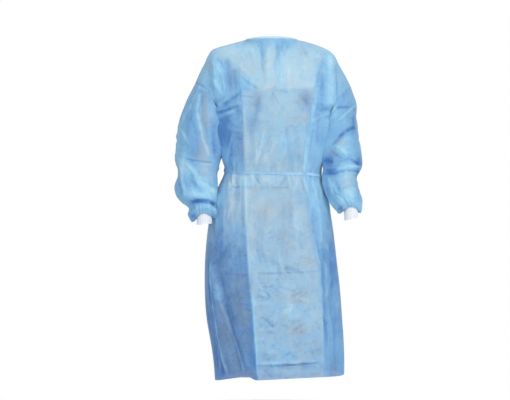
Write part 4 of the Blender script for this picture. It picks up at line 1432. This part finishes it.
def makeTail(name, node, start, length, width, swing):
    share = np.linspace(0, 1, ties["points"])
    z = start[2] - length * share
    x = start[0] + swing * (0.7 * share + 0.3 * np.sin(2.4 * share))
    near = start[1] * (1 - ease(share / 0.15))
    behind = np.array([max(backDepth(px - width / 2, pz), backDepth(px + width / 2, pz)) for px, pz in zip(x, z)])
    path = np.stack([x, np.maximum(behind + ties["clear"], near) + ties["off"], z], axis=1)
    lean = 0.20 * np.sin(4.0 * share + 0.4) * ease(share / 0.2)
    sideways = np.stack([np.cos(lean), np.sin(lean) * 0.35, np.zeros(len(share))], axis=1)
    outward = unit(np.cross(sideways, np.gradient(path, axis=0)))
    outward *= np.sign(outward[:, 1:2])
    wide = ties["narrow"] + (1 - ties["narrow"]) * ease(share / 0.16)
    tail = sweptMesh(name, path, unit(sideways), outward, tapeProfile(width, ties["tailThickness"], ties["groove"]),
                     foldedTape, width=wide, tone=np.full(len(path), ties["tone"]))
    dress(tail, "tape", node)


for tie in ("neck_tie", "belt"):
    facts = ties[tie]
    centre = [(a + b) / 2 for a, b in zip(*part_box(tie + "_knot"))]
    makeKnot(tie + "_knot_tape", tie + "_knot", centre, facts["size"])
    for side, sign, length in (("left", -1, facts["lengths"][0]), ("right", 1, facts["lengths"][1])):
        start = (sign * facts["width"] * 0.45, centre[1], centre[2] - facts["size"][2] / 2 + 0.001)
        makeTail(tie + "_tail_" + side + "_tape", tie + "_tail_" + side, start, length, facts["width"],
                 sign * facts["spread"])
print("binding, belt and ties made")

# seams: an overlocked edge as a fine cord, with slanting stitches across it

seams = {"Spacing": 0.0042, "Stitch Length": 0.0032, "Thread Radius": 0.00035, "Cord Radius": 0.0009,
         "Slant": 0.55, "Seed": 3, "Cloth": seamEdging, "Thread": seamThread}
seamClear = 0.0004


def stitchTree():
    tree, given = newTree("overlock stitches", seams)
    line = addNode(tree, "GeometryNodeMeshToCurve", {"Mesh": given["Geometry"]})
    spots = addNode(tree, "GeometryNodeResampleCurve", {"Curve": line, "Length": given["Spacing"]},
                    mode="LENGTH")
    across = addNode(tree, "GeometryNodeInputNamedAttribute", {"Name": "across"}, data_type="FLOAT_VECTOR")
    along = addNode(tree, "GeometryNodeInputTangent")
    jitter = addNode(tree, "FunctionNodeRandomValue", {"Seed": given["Seed"], 2: 0.7, 3: 1.3}, data_type="FLOAT")
    lean = addNode(tree, "ShaderNodeMath", {0: jitter.outputs[1], 1: given["Slant"]}, operation="MULTIPLY")
    leaned = addNode(tree, "ShaderNodeVectorMath", {0: along, "Scale": lean},
                     operation="SCALE")
    way = addNode(tree, "ShaderNodeVectorMath", {0: across, 1: leaned},
                  operation="ADD")
    turned = addNode(tree, "FunctionNodeAlignRotationToVector", {"Vector": way}, axis="Z")
    ball = addNode(tree, "GeometryNodeMeshUVSphere", {"Segments": 6, "Rings": 4, "Radius": 1.0})
    halfLength = addNode(tree, "ShaderNodeMath", {0: given["Stitch Length"], 1: 0.5}, operation="MULTIPLY")
    size = addNode(tree, "ShaderNodeCombineXYZ", {0: given["Thread Radius"], 1: given["Thread Radius"],
                                                  2: halfLength})
    stitch = addNode(tree, "GeometryNodeInstanceOnPoints", {"Points": spots, "Instance": ball,
                                                            "Rotation": turned, "Scale": size})
    thread = addNode(tree, "GeometryNodeRealizeInstances", {"Geometry": stitch})
    ring = addNode(tree, "GeometryNodeCurvePrimitiveCircle", {"Resolution": 6, "Radius": given["Cord Radius"]})
    cord = addNode(tree, "GeometryNodeCurveToMesh", {"Curve": line, "Profile Curve": ring,
                                                     "Fill Caps": True})
    both = addNode(tree, "GeometryNodeJoinGeometry")
    for part, name in ((thread, "Thread"), (cord, "Cloth")):
        painted = addNode(tree, "GeometryNodeSetMaterial", {"Geometry": part, "Material": given[name]})
        tree.links.new(painted.outputs[0], both.inputs[0])
    whole = addNode(tree, "GeometryNodeRealizeInstances", {"Geometry": both})
    addNode(tree, "NodeGroupOutput", {"Geometry": whole})
    return tree


def seamLine(name, runs):  # runs: points, directions across the seam, whether the run closes
    points, across, edges = [], [], []
    for line, aside, closed in runs:
        start = len(points)
        points += line.tolist()
        across += np.broadcast_to(aside, line.shape).tolist()
        edges += [(start + i, start + i + 1) for i in range(len(line) - 1)]
        if closed:
            edges.append((start + len(line) - 1, start))
    mesh = bpy.data.meshes.new(name)
    mesh.from_pydata(points, edges, [])
    addValues(mesh, "across", across, "FLOAT_VECTOR")
    piece = addObject(name, mesh)
    applyTree(piece, overlock, seams)
    dress(piece, "nonwoven")


overlock = stitchTree()
seamLine("armhole_seams", [(grid[0] + normals[0] * seamClear, unit(grid[3] - grid[0]), True)
                           for _, grid, normals in sleeveMade.values()])
sideSeams = (frontGrid[:yokeStart + 1, 0], frontGrid[:yokeStart + 1, -1])
shoulderSeams = (frontGrid[-1, :neckFirst + 1], frontGrid[-1, neckLast:])
seamLine("side_and_shoulder_seams", [(line, (0.0, 1.0, 0.0), False) for line in sideSeams + shoulderSeams])
print("seams made")

# floor, lights and camera

studio = {
    "floorZ": -1.42, "floorRadius": 1.5, "floorCorners": 64, "floorColour": "#f2f2f2", "floorRoughness": 0.8,
    "worldLight": "#ebf0f9", "worldStrength": 0.43,
    "sensorMm": 36.0, "lensMm": 36.0 * 4.5 / 1.7, "cameraPlace": (-0.0567, -4.5, -0.5333),
    "lamps": (  # name, place, aim, width, power, colour
        ("key", (2.1, -3.0, 1.3), (0.0, 0.0, -0.5), 1.4, 60.0, "#fff7ef"),
        ("fill", (-2.6, -2.6, 0.2), (0.0, 0.0, -0.6), 2.2, 37.0, "#ecf4fe"),
        ("side", (3.0, -1.6, -0.2), (0.0, 0.0, -0.6), 1.8, 21.0, "#eff5fc"),
        ("front", (-0.1, -5.2, -0.4), (0.0, 0.0, -0.5), 0.7, 36.0, "#f7f9fb"),
        ("top", (-0.2, 0.6, 2.2), (0.0, 0.0, -0.4), 1.6, 24.0, "#ffffff"),
        ("back", (0.4, 3.8, 0.5), (0.0, 0.0, -0.5), 2.2, 40.0, "#eef4fb"),
    ),
}
corners = studio["floorCorners"]
turn = np.linspace(0, 2 * math.pi, corners + 1)[:-1]
ringPoints = np.stack([studio["floorRadius"] * np.cos(turn), studio["floorRadius"] * np.sin(turn),
                       np.full(corners, studio["floorZ"])], axis=1)
floorMaterial, floorTree, floorShader = newMaterial("pale painted floor")
setInputs(floorTree, floorShader, {"Base Color": hexColour(studio["floorColour"]),
                                   "Roughness": studio["floorRoughness"]})
makeMesh("floor", ringPoints, [range(corners)], floorMaterial)

world = bpy.data.worlds.new("studio")
world.use_nodes = True
bpy.context.scene.world = world
worldTree = world.node_tree
worldTree.nodes.clear()
seen = addNode(worldTree, "ShaderNodeBackground", {"Color": (1.0, 1.0, 1.0, 1.0), "Strength": 1.0})
lit = addNode(worldTree, "ShaderNodeBackground", {"Color": hexColour(studio["worldLight"]),
                                                  "Strength": studio["worldStrength"]})
ray = addNode(worldTree, "ShaderNodeLightPath")
mixed = addNode(worldTree, "ShaderNodeMixShader", {0: ray.outputs["Is Camera Ray"], 1: lit, 2: seen})
addNode(worldTree, "ShaderNodeOutputWorld", {"Surface": mixed})


def aimAt(thing, target):
    way = np.array(target) - np.array(thing.location)
    level = math.hypot(way[0], way[1])
    thing.rotation_euler = (math.pi / 2 + math.atan2(way[2], level), 0.0, math.atan2(-way[0], way[1]))


for name, place, target, width, power, colour in studio["lamps"]:
    lamp = bpy.data.lights.new(name, "AREA")
    lamp.shape, lamp.size, lamp.energy = "DISK", width, power
    lamp.color = hexColour(colour)[:3]
    stand = addObject(name, lamp)
    stand.location = place
    aimAt(stand, target)

camera = bpy.data.cameras.new("camera")
camera.sensor_width, camera.lens = studio["sensorMm"], studio["lensMm"]
cameraStand = addObject("camera", camera)
cameraStand.location = studio["cameraPlace"]
cameraStand.rotation_euler = (math.pi / 2, 0.0, 0.0)
bpy.context.scene.camera = cameraStand
bpy.context.scene.view_settings.view_transform = "Standard"
print("studio made")
